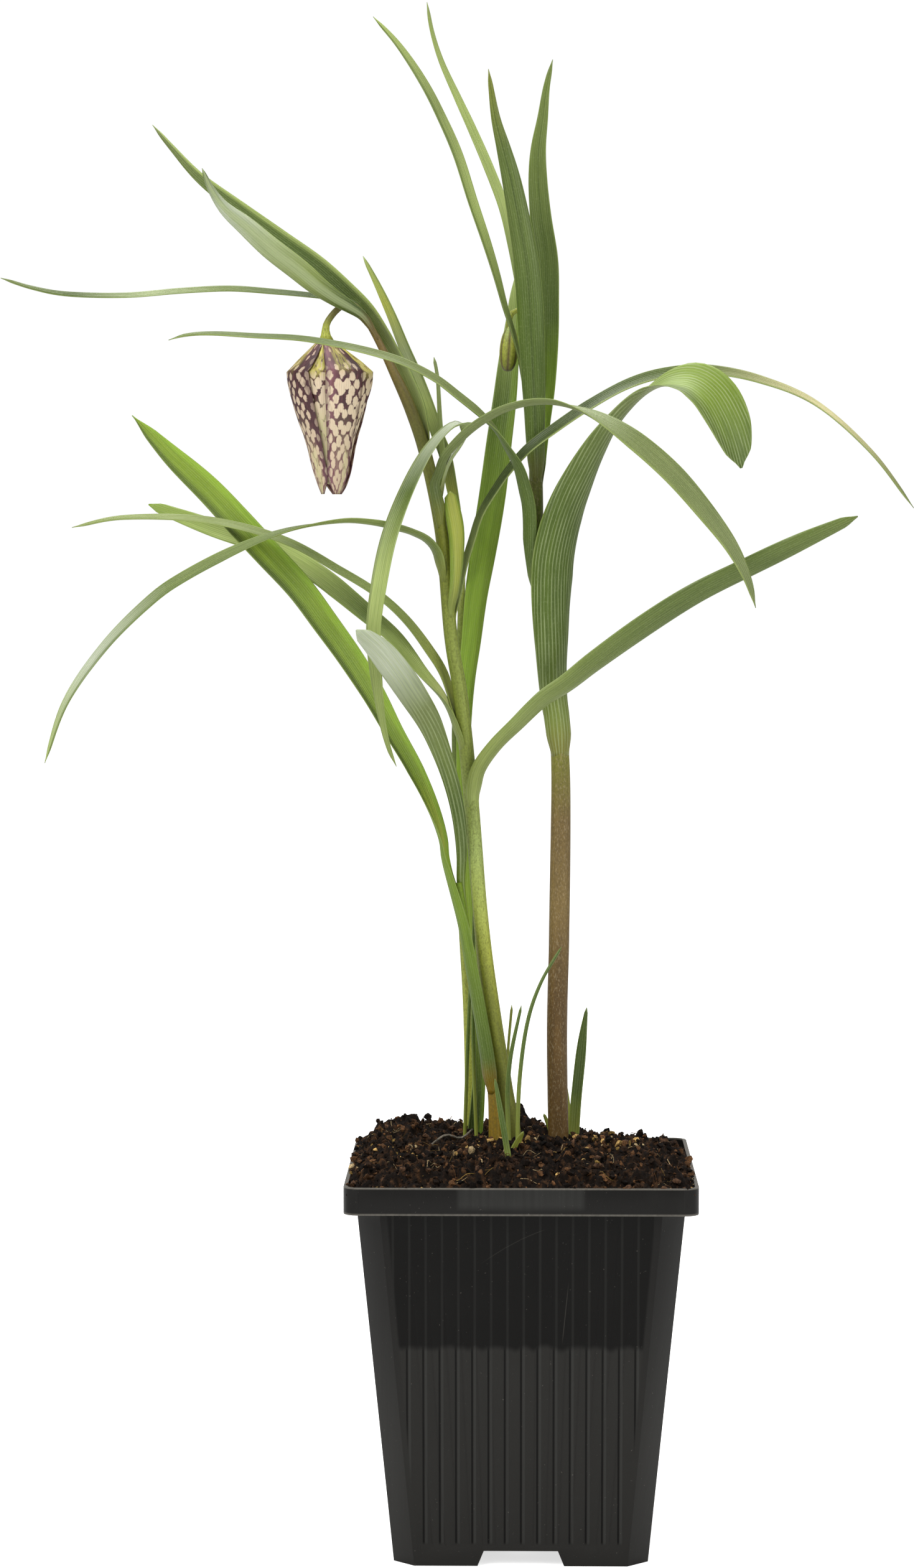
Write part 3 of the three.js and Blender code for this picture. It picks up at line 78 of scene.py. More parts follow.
class Tone(Enum):
    """The plant's and the pot's colours, as screen colours from 0 to 255."""

    INK = (52, 68, 14)
    DARK = (66, 84, 18)
    DEEP = (74, 94, 24)
    FERN = (86, 103, 40)
    MID = (101, 117, 50)
    LEAF = (118, 142, 36)
    LUSH = (104, 130, 20)
    SAGE = (126, 140, 72)
    GREY = (108, 120, 66)
    SILVER = (152, 164, 116)
    FROST = (176, 184, 158)
    PALE = (156, 172, 94)
    YELLOW = (162, 168, 66)
    REED = (130, 142, 62)
    OLIVE = (118, 124, 40)
    MOSS = (92, 94, 34)
    BROWN = (94, 70, 30)
    BARK = (112, 92, 50)
    GOLD = (132, 106, 16)
    FRESH = (134, 166, 46)
    UMBER = (68, 50, 38)
    BUFF = (168, 150, 116)
    CREAM = (218, 198, 170)
    BONE = (204, 196, 146)
    MAUVE = (172, 138, 122)
    WINE = (64, 30, 36)
    MAROON = (108, 60, 64)
    LIME = (196, 186, 88)
    ROSE = (150, 100, 110)
    BLACK = (8, 7, 6)
    SOOT = (26, 25, 24)
    SLATE = (38, 37, 35)
    ASH = (54, 54, 52)
    TAUPE = (120, 116, 108)
    PEAT = (24, 16, 10)
    LOAM = (82, 58, 38)
    STRAW = (176, 146, 92)
    WHITE = (240, 240, 238)

    @property
    def light(self) -> Vector:
        """The colour as light, from 0 to 1."""
        return Vector([to_light(channel / 255) for channel in self.value])


def to_light(share: float) -> float:
    """A screen channel from 0 to 1 as light."""
    return share / 12.92 if share <= 0.04045 else ((share + 0.055) / 1.055) ** 2.4


def palette(names: str) -> tuple[Tone, ...]:
    """The tones of these names, in order."""
    return tuple(Tone[name] for name in names.split())


def lerp(low: float, high: float, share: float) -> float:
    """The value that lies that share of the way from low to high."""
    return low + (high - low) * share


def smoothstep(low: float, high: float, value: float) -> float:
    """0 below low, 1 above high and a soft rise between them."""
    share = min(max((value - low) / (high - low), 0.0), 1.0)
    return share * share * (3 - 2 * share)


def hermite(p0: Any, p1: Any, p2: Any, p3: Any, t: float) -> Any:
    """A place on one piece of a smooth curve through four values or vectors.

    Args:
        p0: The value before p1.
        p1: Where this piece of the curve starts.
        p2: Where it ends.
        p3: The value after p2.
        t: How far along the piece, from 0 to 1.

    Returns:
        The number or vector there.
    """
    m1, m2 = (p2 - p0) / 2, (p3 - p1) / 2
    start = (2 * t**3 - 3 * t**2 + 1) * p1 + (t**3 - 2 * t**2 + t) * m1
    return start + (3 * t**2 - 2 * t**3) * p2 + (t**3 - t**2) * m2


def smooth_along(values: Sequence[float], share: float) -> float:
    """A value between evenly spaced ones, on a smooth curve through them.

    Args:
        values: The evenly spaced values.
        share: How far along them the value is wanted, from 0 to 1.

    Returns:
        The value there.
    """
    chain = [2 * values[0] - values[1], *values, 2 * values[-1] - values[-2]]
    place = min(max(share, 0.0), 1.0) * (len(values) - 1)
    left = min(int(place), len(values) - 2)
    return hermite(*chain[left : left + 4], place - left)


def straight_along(values: Sequence[Any], share: float) -> Any:
    """A value or vector between evenly spaced ones, on straight lines.

    Args:
        values: The evenly spaced values.
        share: How far along them one is wanted, from 0 to 1.

    Returns:
        The value there.
    """
    place = min(max(share, 0.0), 1.0) * (len(values) - 1)
    left = min(int(place), len(values) - 2)
    return values[left] + (values[left + 1] - values[left]) * (place - left)


class Route:
    """A smooth curve through points, read by its length."""

    PIECES = 28
    REACH = 0.004

    def __init__(self, points: Sequence[Point]) -> None:
        """Lays the curve.

        Args:
            points: The points that it goes through.
        """
        knots = [Vector(point) for point in points]
        chain = [2 * knots[0] - knots[1], *knots, 2 * knots[-1] - knots[-2]]
        self.places: list[Vector] = []
        for four in zip(chain, chain[1:], chain[2:], chain[3:]):
            self.places += [hermite(*four, piece / self.PIECES) for piece in range(self.PIECES)]
        self.places.append(knots[-1])
        self.lengths = [0.0]
        for here, there in zip(self.places, self.places[1:]):
            self.lengths.append(self.lengths[-1] + (there - here).length)
        self.length = self.lengths[-1]

    def at(self, share: float) -> Vector:
        """A point on the curve.

        Args:
            share: The share of the length that lies before it.

        Returns:
            The point.
        """
        wanted = min(max(share, 0.0), 1.0) * self.length
        high = min(max(bisect.bisect_right(self.lengths, wanted), 1), len(self.lengths) - 1)
        start, end = self.lengths[high - 1], self.lengths[high]
        return self.places[high - 1].lerp(self.places[high], (wanted - start) / max(end - start, 1e-9))

    def along(self, share: float) -> Vector:
        """The curve's direction at that share of its length."""
        return (self.at(min(share + self.REACH, 1)) - self.at(max(share - self.REACH, 0))).normalized()


# Shaders


class Value:
    """A socket in a shader, so that its maths is written as expressions."""

    def __init__(self, shader: Shader, socket: bpy.types.NodeSocket) -> None:
        """Wraps an output socket of that shader's nodes."""
        self.shader = shader
        self.socket = socket

    def _maths(self, operation: str, *values: Any) -> Value:
        """A Math node on these values."""
        return self.shader.node("ShaderNodeMath", {"operation": operation}, dict(enumerate(values)))

    def __add__(self, other: Any) -> Value:
        """This plus other."""
        return self._maths("ADD", self, other)

    __radd__ = __add__

    def __sub__(self, other: Any) -> Value:
        """This minus other."""
        return self._maths("SUBTRACT", self, other)

    def __rsub__(self, other: Any) -> Value:
        """Other minus this."""
        return self._maths("SUBTRACT", other, self)

    def __mul__(self, other: Any) -> Value:
        """This times other."""
        return self._maths("MULTIPLY", self, other)

    __rmul__ = __mul__

    def __truediv__(self, other: Any) -> Value:
        """This divided by other."""
        return self._maths("DIVIDE", self, other)

    def __pow__(self, other: Any) -> Value:
        """This raised to other."""
        return self._maths("POWER", self, other)

    def sine(self) -> Value:
        """The sine of this."""
        return self._maths("SINE", self)

    def size(self) -> Value:
        """This without its sign."""
        return self._maths("ABSOLUTE", self)

    def rise(self, low: float, high: float) -> Value:
        """0 where this is low, 1 where it is high and a soft step between them."""
        ends = {"Value": self, "From Min": low, "From Max": high}
        return self.shader.node("ShaderNodeMapRange", {"interpolation_type": "SMOOTHSTEP"}, ends)


class Shader:
    """A material, and one way to add any node to it."""

    def __init__(self, name: str) -> None:
        """Starts an empty material.

        Args:
            name: The material's name.
        """
        self.material = bpy.data.materials.new(name)
        self.material.use_nodes = True
        self.tree = self.material.node_tree
        self.tree.nodes.clear()

    def node(self, kind: str, settings: dict[str, Any], values: dict[Any, Any], output: Any = 0) -> Value:
        """Adds a node.

        Args:
            kind: The node's type.
            settings: Its own settings.
            values: A value or a link for each of its sockets, by name or number.
            output: The socket that is wanted from it, by name or number.

        Returns:
            That output socket.
        """
        made = self.tree.nodes.new(kind)
        for key, setting in settings.items():
            setattr(made, key, setting)
        for key, value in values.items():
            socket = made.inputs[key]
            if isinstance(value, Value):
                self.tree.links.new(value.socket, socket)
            elif isinstance(value, Tone):
                socket.default_value = (*value.light, 1)
            else:
                socket.default_value = value
        return Value(self, made.outputs[output])

    def mix(self, share: Any, low: Any, high: Any, blend: str = "MIX") -> Value:
        """A colour between two colours, or their product."""
        settings = {"data_type": "RGBA", "blend_type": blend}
        return self.node("ShaderNodeMix", settings, {0: share, 6: low, 7: high}, 2)

    def shade(self, share: Any, tint: Value, low: Point, high: Point) -> Value:
        """A tint, from its product with low to its product with high."""
        ends = [self.mix(1.0, tint, (*factor, 1), "MULTIPLY") for factor in (low, high)]
        return self.mix(share, *ends)

    def stretch(self, where: Value, factors: Point) -> Value:
        """A place with each of its coordinates times its own factor."""
        return self.node("ShaderNodeVectorMath", {"operation": "MULTIPLY"}, {0: where, 1: factors})

    def place(self) -> Value:
        """The point on the piece, in metres."""
        return self.node("ShaderNodeTexCoord", {}, {}, "Object")

    def attribute(self, name: str, output: str = "Fac") -> Value:
        """A value or colour that the mesh carries."""
        return self.node("ShaderNodeAttribute", {"attribute_name": name}, {}, output)

    def map(self) -> tuple[Value, Value]:
        """Reads the piece's own map.

        Returns:
            Its two coordinates.
        """
        found = self.node("ShaderNodeUVMap", {"uv_map": "map"}, {})
        parts = self.node("ShaderNodeSeparateXYZ", {}, {0: found}, "X")
        return parts, Value(self, parts.socket.node.outputs["Y"])

    def join(self, x: Any, y: Any, z: Any = 0.0) -> Value:
        """A vector from three values."""
        return self.node("ShaderNodeCombineXYZ", {}, {0: x, 1: y, 2: z})

    def noise(self, where: Value, scale: float, detail: float = 2.0, rough: float = 0.5) -> Value:
        """Soft noise from 0 to 1."""
        values = {"Vector": where, "Scale": scale, "Detail": detail, "Roughness": rough}
        return self.node("ShaderNodeTexNoise", {}, values, "Fac")

    def cells(self, where: Value, scatter: float) -> Value:
        """Distance to the nearest point of a flat lattice whose points are scattered."""
        values = {"Vector": where, "Scale": 1.0, "Randomness": scatter}
        return self.node("ShaderNodeTexVoronoi", {"voronoi_dimensions": "2D"}, values, "Distance")

    def bump(self, height: Any, strength: float, distance: float) -> Value:
        """A normal from a height."""
        return self.node("ShaderNodeBump", {}, {"Height": height, "Strength": strength, "Distance": distance})

    def finish(self, **sockets: Any) -> bpy.types.Material:
        """Closes the material with a Principled shader that takes these sockets.

        Args:
            sockets: Values or links by socket name, with underscores for spaces.

        Returns:
            The finished material.
        """
        named = {key.replace("_", " "): value for key, value in sockets.items()}
        surface = self.node("ShaderNodeBsdfPrincipled", {}, named)
        out = self.tree.nodes.new("ShaderNodeOutputMaterial")
        self.tree.links.new(surface.socket, out.inputs["Surface"])
        return self.material


@dataclass(frozen=True)
class BladeFinish:
    """Leaf tissue: long veins, a felt of fine pale dashes and a painted sheen along a thin pale margin, over
    the mesh's tint.

    The map is in centimetres from the midrib and from the base, and so is the step from vein to vein.
    """

    name: str
    vein: float = 0.055
    ribs: float = 0.12
    felt: float = 0.13
    roughness: float = 0.46

    def make(self) -> bpy.types.Material:
        """Builds the material.

        Returns:
            The material.
        """
        shader = Shader(self.name)
        across, along = shader.map()
        tint = shader.attribute("tint", "Color")
        bands = shader.noise(shader.join(across * 9, along * 0.35), 1.0, 3)
        threads = shader.noise(shader.join(across * 30, along * 1.1), 1.0, 2)
        dashes = shader.noise(shader.join(across * 36, along * 14), 1.0, 1)
        lines = (across * (TURN / self.vein)).sine() * 0.5 + 0.5
        patches = shader.noise(shader.place(), 110, 2)
        soft = bands.rise(0.3, 0.7) * 0.4 + patches.rise(0.3, 0.7) * 0.15
        light = soft + threads.rise(0.35, 0.65) * 0.25 + lines * 0.2
        tissue = shader.shade(light, tint, (0.74, 0.77, 0.70), (1.22, 1.19, 1.28))
        felted = shader.mix(dashes.rise(0.56, 0.68) * self.felt, tissue, Tone.SILVER)
        ribbed = shader.mix(lines.rise(0.55, 0.9) * threads.rise(0.3, 0.6) * self.ribs, felted, Tone.SILVER)
        # Painted sheen: a thin pale line along the blade's margins.
        border = shader.attribute("edge").rise(0.9, 0.99)
        height = lines * 0.6 + threads * 0.5 + dashes * 0.08
        return shader.finish(
            Base_Color=shader.mix(border * 0.35, ribbed, Tone.PALE),
            Roughness=dashes * 0.06 + (self.roughness - 0.03),
            Normal=shader.bump(height, 0.35, 0.00018),
            Subsurface_Weight=0.06,
            Subsurface_Radius=(0.4, 0.8, 0.2),
            Subsurface_Scale=0.001,
            Specular_IOR_Level=0.4,
        )


@dataclass(frozen=True)
class StemFinish:
    """Stem skin: fine long streaks, and upright dashes of another tone."""

    name: str
    speck: Tone
    amount: float
    roughness: float = 0.5

    def make(self) -> bpy.types.Material:
        """Builds the material.

        Returns:
            The material.
        """
        shader = Shader(self.name)
        around, along = shader.map()
        tint = shader.attribute("tint", "Color")
        where = shader.place()
        streaks = shader.noise(shader.join((around * TURN).sine() * 5, along * 4, around * 3), 1.0, 3)
        dashes = shader.noise(shader.stretch(where, (1.0, 1.0, 0.3)), 3600, 1)
        mottle = shader.noise(where, 1900, 2)
        specks = dashes.rise(0.56, 0.66) * self.amount
        light = streaks.rise(0.3, 0.7) * 0.6 + mottle.rise(0.35, 0.65) * 0.4
        skin = shader.shade(light, tint, (0.70, 0.70, 0.68), (1.24, 1.24, 1.2))
        return shader.finish(
            Base_Color=shader.mix(specks, skin, self.speck),
            Roughness=specks * 0.15 + self.roughness,
            Normal=shader.bump(streaks + specks * 0.4, 0.3, 0.0002),
            Specular_IOR_Level=0.4,
        )


@dataclass(frozen=True)
class ChequerFinish:
    """A bell's tissue: pale ovals on a dark ground, in staggered rows that run along its veins.

    The map is in centimetres round the bell and down from its stalk. The mesh carries how far each
    spot lies towards the margin (edge), how green it is (shoulder), how pink its ground (blush), how
    faded (ghost) and how darkened its ovals (dusk), with painted shade on one side of a tepal.
    """

    name: str
    pitch: float = 0.3
    stagger: float = 0.41
    scatter: float = 0.38
    vein: float = 0.062

    def make(self) -> bpy.types.Material:
        """Builds the material.

        Returns:
            The material.
        """
        shader = Shader(self.name)
        across, along = shader.map()
        where = shader.place()
        marks = ("edge", "ghost", "dusk", "blush", "shoulder")
        edge, ghost, dusk, blush, shoulder = (shader.attribute(mark) for mark in marks)
        slant = across / self.pitch
        climb = along / self.stagger
        reach = shader.cells(shader.join(slant + climb, slant - climb), self.scatter)
        size = shader.noise(where, 230, 1) * 0.4 - 0.24 - ghost * 0.15
        ragged = reach + (shader.noise(where, 1300, 3) - 0.5) * 0.42 + size + dusk * 0.3
        pale = 1 - ragged.rise(0.36, 0.48)
        smudges = shader.noise(shader.join(across * 16, along * 5), 1.0, 3)
        veins = (across * (TURN / self.vein)).sine() * 0.5 + 0.5
        ground = shader.mix(blush, Tone.WINE, Tone.ROSE)
        dark = shader.mix(smudges.rise(0.45, 0.66) * 0.55, ground, Tone.MAROON)
        fresh = shader.mix(veins**2 * 0.2 + smudges.rise(0.5, 0.75) * 0.3, Tone.CREAM, Tone.BUFF)
        light = shader.mix(dusk * 0.8, fresh, Tone.MAUVE)
        cloth = shader.mix(pale, dark, light)
        washed = shader.mix(ghost * (1 - smudges.rise(0.5, 0.62)), cloth, Tone.BONE)
        greened = shader.mix(shoulder * (1 - smudges.rise(0.48, 0.6) * 0.85), washed, Tone.LIME)
        border = (edge + (smudges - 0.5) * 0.4).rise(0.72, 0.92)
        return shader.finish(
            Base_Color=shader.mix(border * 0.62, greened, Tone.WINE),
            Roughness=veins * 0.1 + 0.45,
            Normal=shader.bump(veins * 0.5 + pale * 0.3, 0.35, 0.0002),
            Subsurface_Weight=0.1,
            Subsurface_Radius=(1.0, 0.5, 0.4),
            Subsurface_Scale=0.001,
        )


@dataclass(frozen=True)
class PlasticFinish:
    """Thin black nursery-pot plastic: pressed grooves with painted shade in their troughs and painted
    highlights on their crests, a duller lower half painted lighter as a floor reflection, a painted
    reflection patch on each side of the rim, dust, scratches and painted highlights along the rim's edges.

    The map is in metres sideways from the pot's middle and up from its foot, and so are the sizes.
    """

    name: str
    groove_pitch: float = 0.00415
    crest_shift: float = 0.0007
    panel_half: float = 0.0265
    panel_slope: float = 0.0854
    dull_reflection_height: float = 0.058
    rim_foot: float = 0.0925
    rim_top: float = 0.0995
    reflection_patch_half: float = 0.0155
    stroke_place: float = 0.0046
    sweep_height: float = 0.0859

    def scratches(self, across: Value, up: Value) -> Value:
        """Two faint scratches: a short upright stroke and a bowed sweep.

        Args:
            across: Metres sideways.
            up: Metres up from the foot.

        Returns:
            How far they cover the plastic.
        """
        aside = (across - up * 0.1 - self.stroke_place).size()
        stroke = (1 - aside.rise(0.00003, 0.00016)) * (up.rise(0.058, 0.062) - up.rise(0.07, 0.076))
        bow = (across * 0.5 + self.sweep_height - across * across * 12 - up).size()
        sweep = (1 - bow.rise(0.00002, 0.00016)) * (across.rise(-0.011, -0.006) - across.rise(0.004, 0.007))
        return (stroke + sweep * 0.6) * 0.14

    def make(self) -> bpy.types.Material:
        """Builds the material.

        Returns:
            The material.
        """
        shader = Shader(self.name)
        where = shader.place()
        across, up = shader.map()
        haze = shader.noise(where, 60, 3)
        wipes = shader.noise(shader.join(across * 900, up * 40), 1.0, 3)
        inside = (up * self.panel_slope + self.panel_half - across.size()).rise(0.0, 0.0008)
        panel = inside * up.rise(0.0055, 0.0065)
        rim = up.rise(self.rim_foot - 0.0002, self.rim_foot)
        turn = TURN / self.groove_pitch
        trough = ((across + self.groove_pitch / 4) * turn).sine()
        crest = ((across + self.groove_pitch / 4 - self.crest_shift) * turn).sine()
        uneven = shader.noise(shader.join(across / self.groove_pitch, 3.0), 1.0, 1)
        # Painted floor reflection: below an uneven line the plastic is painted lighter, and it is also
        # rougher there.
        dull_reflection_edge = (uneven - 0.5) * 0.004 + self.dull_reflection_height
        dull_and_floor_reflection = 1 - (up - dull_reflection_edge).rise(-0.0016, 0.0006)
        face = shader.mix(dull_and_floor_reflection * 0.98 + (haze - 0.5) * 0.25, Tone.BLACK, Tone.SLATE)
        # Painted highlight: a lighter line along each groove's crest, stronger on the lower half.
        lined = shader.mix(crest.rise(0.8, 0.99) * (dull_and_floor_reflection * 0.35 + 0.2), face, Tone.ASH)
        # Painted shade: a black line in each groove's trough.
        grooved = shader.mix(trough.rise(0.9, 0.97) * (dull_and_floor_reflection * 0.5 + 0.5), lined, Tone.BLACK)
        # Painted floor reflection: outside the grooved panel the walls are painted lighter towards the foot.
        walls = shader.mix(panel, shader.mix(up.rise(0.09, 0.02), Tone.SOOT, Tone.SLATE), grooved)
        # Painted reflection: a soft lighter patch in the middle of each side of the rim.
        beside = across.size().rise(self.reflection_patch_half - 0.0004, self.reflection_patch_half + 0.0012)
        reflection_patch = (1 - beside) * up.rise(0.0932, 0.0955)
        band = shader.mix(reflection_patch * (wipes * 0.5 + 0.25) + haze.rise(0.45, 0.8) * 0.15, Tone.SOOT, Tone.ASH)
        scratched = shader.mix(self.scratches(across, up), shader.mix(rim, walls, band), Tone.TAUPE)
        specks = shader.noise(where, 1500, 2).rise(0.72, 0.8)
        dusty = shader.mix(specks * 0.35, scratched, Tone.TAUPE)
        # Painted highlights: thin lighter lines along the rim's top edge and its foot.
        lip = up.rise(self.rim_top - 0.00045, self.rim_top - 0.00015)
        hem = rim - up.rise(self.rim_foot + 0.0002, self.rim_foot + 0.0007)
        edge_highlight = (lip * 0.7 + hem * 0.6) * (wipes * 0.8 + 0.5)
        relief = crest.rise(0.7, 1.0) * panel * 0.2 + wipes * 0.2
        return shader.finish(
            Base_Color=shader.mix(edge_highlight, dusty, Tone.TAUPE),
            Roughness=haze * 0.14 + wipes * 0.08 + dull_and_floor_reflection * panel * 0.1 + 0.2,
            Normal=shader.bump(relief, 0.4, 0.0003),
            Specular_IOR_Level=0.13,
        )


@dataclass(frozen=True)
class EarthFinish:
    """Damp peaty soil, where the mesh's tint tells one crumb from the next."""

    name: str

    def make(self) -> bpy.types.Material:
        """Builds the material.

        Returns:
            The material.
        """
        shader = Shader(self.name)
        where = shader.place()
        tint = shader.attribute("tint", "Color")
        fine = shader.noise(where, 1900, 4, 0.7)
        lumps = shader.noise(where, 420, 3)
        return shader.finish(
            Base_Color=shader.shade(fine.rise(0.3, 0.75), tint, (0.35, 0.34, 0.32), (1.7, 1.6, 1.45)),
            Roughness=lumps * 0.25 + 0.6,
            Normal=shader.bump(fine * 0.6 + lumps, 0.8, 0.0009),
            Specular_IOR_Level=0.1,
        )


@dataclass(frozen=True)
class PlainFinish:
    """A small organic part: two tones, mottled."""

    name: str
    low: Tone
    high: Tone
    scale: float = 900.0
    roughness: float = 0.55

    def make(self) -> bpy.types.Material:
        """Builds the material.

        Returns:
            The material.
        """
        shader = Shader(self.name)
        mottle = shader.noise(shader.place(), self.scale, 3)
        return shader.finish(
            Base_Color=shader.mix(mottle.rise(0.35, 0.65), self.low, self.high),
            Roughness=mottle * 0.1 + self.roughness,
            Normal=shader.bump(mottle, 0.3, 0.0003),
        )


@dataclass
class Finishes:
    """Every material that the plant and its pot wear."""

    leaf: bpy.types.Material
    veined: bpy.types.Material
    shoot: bpy.types.Material
    stem: bpy.types.Material
    brown: bpy.types.Material
    tepal: bpy.types.Material
    bud: bpy.types.Material
    heart: bpy.types.Material
    pollen: bpy.types.Material
    bulb: bpy.types.Material
    plastic: bpy.types.Material
    soil: bpy.types.Material

    @classmethod
    def make(cls) -> Finishes:
        """Makes each material once.

        Returns:
            All of them.
        """
        return cls(
            leaf=BladeFinish("leaf_tissue").make(),
            veined=BladeFinish("veined_leaf_tissue", vein=0.09, ribs=0.55).make(),
            shoot=BladeFinish("shoot_tissue", vein=0.07).make(),
            stem=StemFinish("stem_green_skin", Tone.MOSS, 0.45).make(),
            brown=StemFinish("stem_brown_skin", Tone.BUFF, 0.3).make(),
            tepal=ChequerFinish("chequered_tissue").make(),
            bud=StemFinish("bud_tissue", Tone.WINE, 0.3).make(),
            heart=PlainFinish("ovary_tissue", Tone.YELLOW, Tone.PALE).make(),
            pollen=PlainFinish("anther_pollen", Tone.STRAW, Tone.LIME).make(),
            bulb=PlainFinish("bulb_skin", Tone.BUFF, Tone.CREAM, 300).make(),
            plastic=PlasticFinish("pot_black_plastic").make(),
            soil=EarthFinish("damp_soil").make(),
        )


# The bench, where shapes in millimetres become pieces


def put(name: str, data: Any) -> bpy.types.Object:
    """A new object of that name and data, in the scene.

    Args:
        name: Its name.
        data: Its mesh, light or camera.

    Returns:
        The object.
    """
    made = bpy.data.objects.new(name, data)
    bpy.context.scene.collection.objects.link(made)
    return made


def to_mesh(shape: bmesh.types.BMesh, name: str) -> bpy.types.Mesh:
    """A mesh from a bmesh, which is used up.

    Args:
        shape: The bmesh.
        name: The mesh's name.

    Returns:
        The mesh.
    """
    mesh = bpy.data.meshes.new(name)
    shape.to_mesh(mesh)
    shape.free()
    return mesh


def pour(source: bmesh.types.BMesh, target: bmesh.types.BMesh) -> None:
    """Adds one bmesh, which is used up, to another.

    Args:
        source: The one that is used up.
        target: The one that takes it.
    """
    mesh = to_mesh(source, "poured")
    target.from_mesh(mesh)
    bpy.data.meshes.remove(mesh)


@dataclass
class Bench:
    """Turns shapes in plant millimetres into named pieces that ride on the plant's body."""

    origin: Vector

    def add(
        self,
        shape: bmesh.types.BMesh,
        name: str,
        material: bpy.types.Material,
        slot: str,
        replaced: Sequence[str] = (),
        flat: float | None = None,
    ) -> None:
        """Makes a piece.

        Args:
            shape: The mesh in millimetres; it is used up.
            name: The piece's name.
            material: What it wears.
            slot: The record's material slot; not used.
            replaced: The CAD nodes that it stands for.
            flat: The angle in degrees past which an edge stays sharp, or None for none.
        """
        matrix = Matrix.Translation(self.origin) @ Matrix.Scale(MM, 4)
        bmesh.ops.transform(shape, matrix=matrix, verts=shape.verts)
        for face in shape.faces:
            face.smooth = True
        mesh = to_mesh(shape, name)
        if flat is not None:
            mesh.set_sharp_from_angle(angle=math.radians(flat))
        mesh.materials.append(material)
        piece = put(name, mesh)
        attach(piece, BODY)
        if replaced:
            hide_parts(*replaced)
        LOG.info("%s: %d faces", name, len(mesh.polygons))


def blank() -> bmesh.types.BMesh:
    """Starts a shape.

    Returns:
        An empty bmesh whose points can carry a tint and whose faces carry a map.
    """
    shape = bmesh.new()
    shape.verts.layers.float_color.new("tint")
    shape.loops.layers.uv.new("map")
    return shape


def map_grid(shape: bmesh.types.BMesh, scale: Callable[[float, float], Point]) -> None:
    """Writes the map of a flat grid, from each corner's place in it, before the grid is bent.

    Args:
        shape: The grid.
        scale: The map for a share across and a share along.
    """
    layer = shape.loops.layers.uv["map"]
    for face in shape.faces:
        for loop in face.loops:
            loop[layer].uv = scale(loop.vert.co.x + 0.5, loop.vert.co.y + 0.5)


def shell(
    columns: int,
    rows: int,
    place: Callable[[float, float, int], Vector],
    tint: Callable[[float, float, int], Point],
    chart: Callable[[float, float], Point],
    marks: dict[str, Callable[[float, float], float]] | None = None,
) -> bmesh.types.BMesh:
    """A thin closed sheet with an upper and a lower face.

    Args:
        columns: Faces across.
        rows: Faces along.
        place: The point for a share across, a share along and a side, 1 for the upper face.
        tint: The colour for the same three.
        chart: The map for the two shares.
        marks: More values that the sheet carries, from the two shares.

    Returns:
        The sheet.
    """
    shape = blank()
    layers = {name: shape.verts.layers.float.new(name) for name in (marks or {})}
    bmesh.ops.create_grid(shape, x_segments=columns, y_segments=rows, size=0.5)
    map_grid(shape, chart)
    doubled = bmesh.ops.extrude_face_region(shape, geom=shape.faces[:], use_keep_orig=True)
    under = {item for item in doubled["geom"] if isinstance(item, bmesh.types.BMVert)}
    colour = shape.verts.layers.float_color["tint"]
    for vert in shape.verts:
        side = -1 if vert in under else 1
        across, along = vert.co.x + 0.5, vert.co.y + 0.5
        for name, layer in layers.items():
            vert[layer] = marks[name](across, along)
        vert[colour] = (*tint(across, along, side), 1)
        vert.co = place(across, along, side)
    bmesh.ops.recalc_face_normals(shape, faces=shape.faces[:])
    return shape


def tube(
    columns: int,
    rows: int,
    place: Callable[[float, float], Vector],
    tint: Callable[[float, float], Point],
    chart: Callable[[float, float], Point],
) -> bmesh.types.BMesh:
    """A closed round form, from a grid that is wrapped round and capped.

    Args:
        columns: Faces round.
        rows: Faces along.
        place: The point for a share round and a share along.
        tint: The colour for the same two.
        chart: The map for the same two.

    Returns:
        The form.
    """
    shape = blank()
    bmesh.ops.create_grid(shape, x_segments=columns, y_segments=rows, size=0.5)
    map_grid(shape, chart)
    colour = shape.verts.layers.float_color["tint"]
    for vert in shape.verts:
        around, along = vert.co.x + 0.5, vert.co.y + 0.5
        vert[colour] = (*tint(around, along), 1)
        vert.co = place(around, along)
    bmesh.ops.remove_doubles(shape, verts=shape.verts, dist=1e-4)
    bmesh.ops.holes_fill(shape, edges=[edge for edge in shape.edges if edge.is_boundary], sides=0)
    bmesh.ops.recalc_face_normals(shape, faces=shape.faces[:])
    return shape


def blend_tones(tones: Sequence[Tone], share: float) -> Vector:
    """The colour at a share of the way through tones."""
    return straight_along([tone.light for tone in tones], share) if len(tones) > 1 else tones[0].light


def margin(across: float, along: float) -> float:
    """How near a point lies to its sheet's margin, from 0 at the middle to 1."""
    return abs(2 * across - 1)


def square(direction: Vector, tangent: Vector) -> Vector:
    """The direction turned square to the tangent."""
    return (direction - direction.dot(tangent) * tangent).normalized()


# Stems


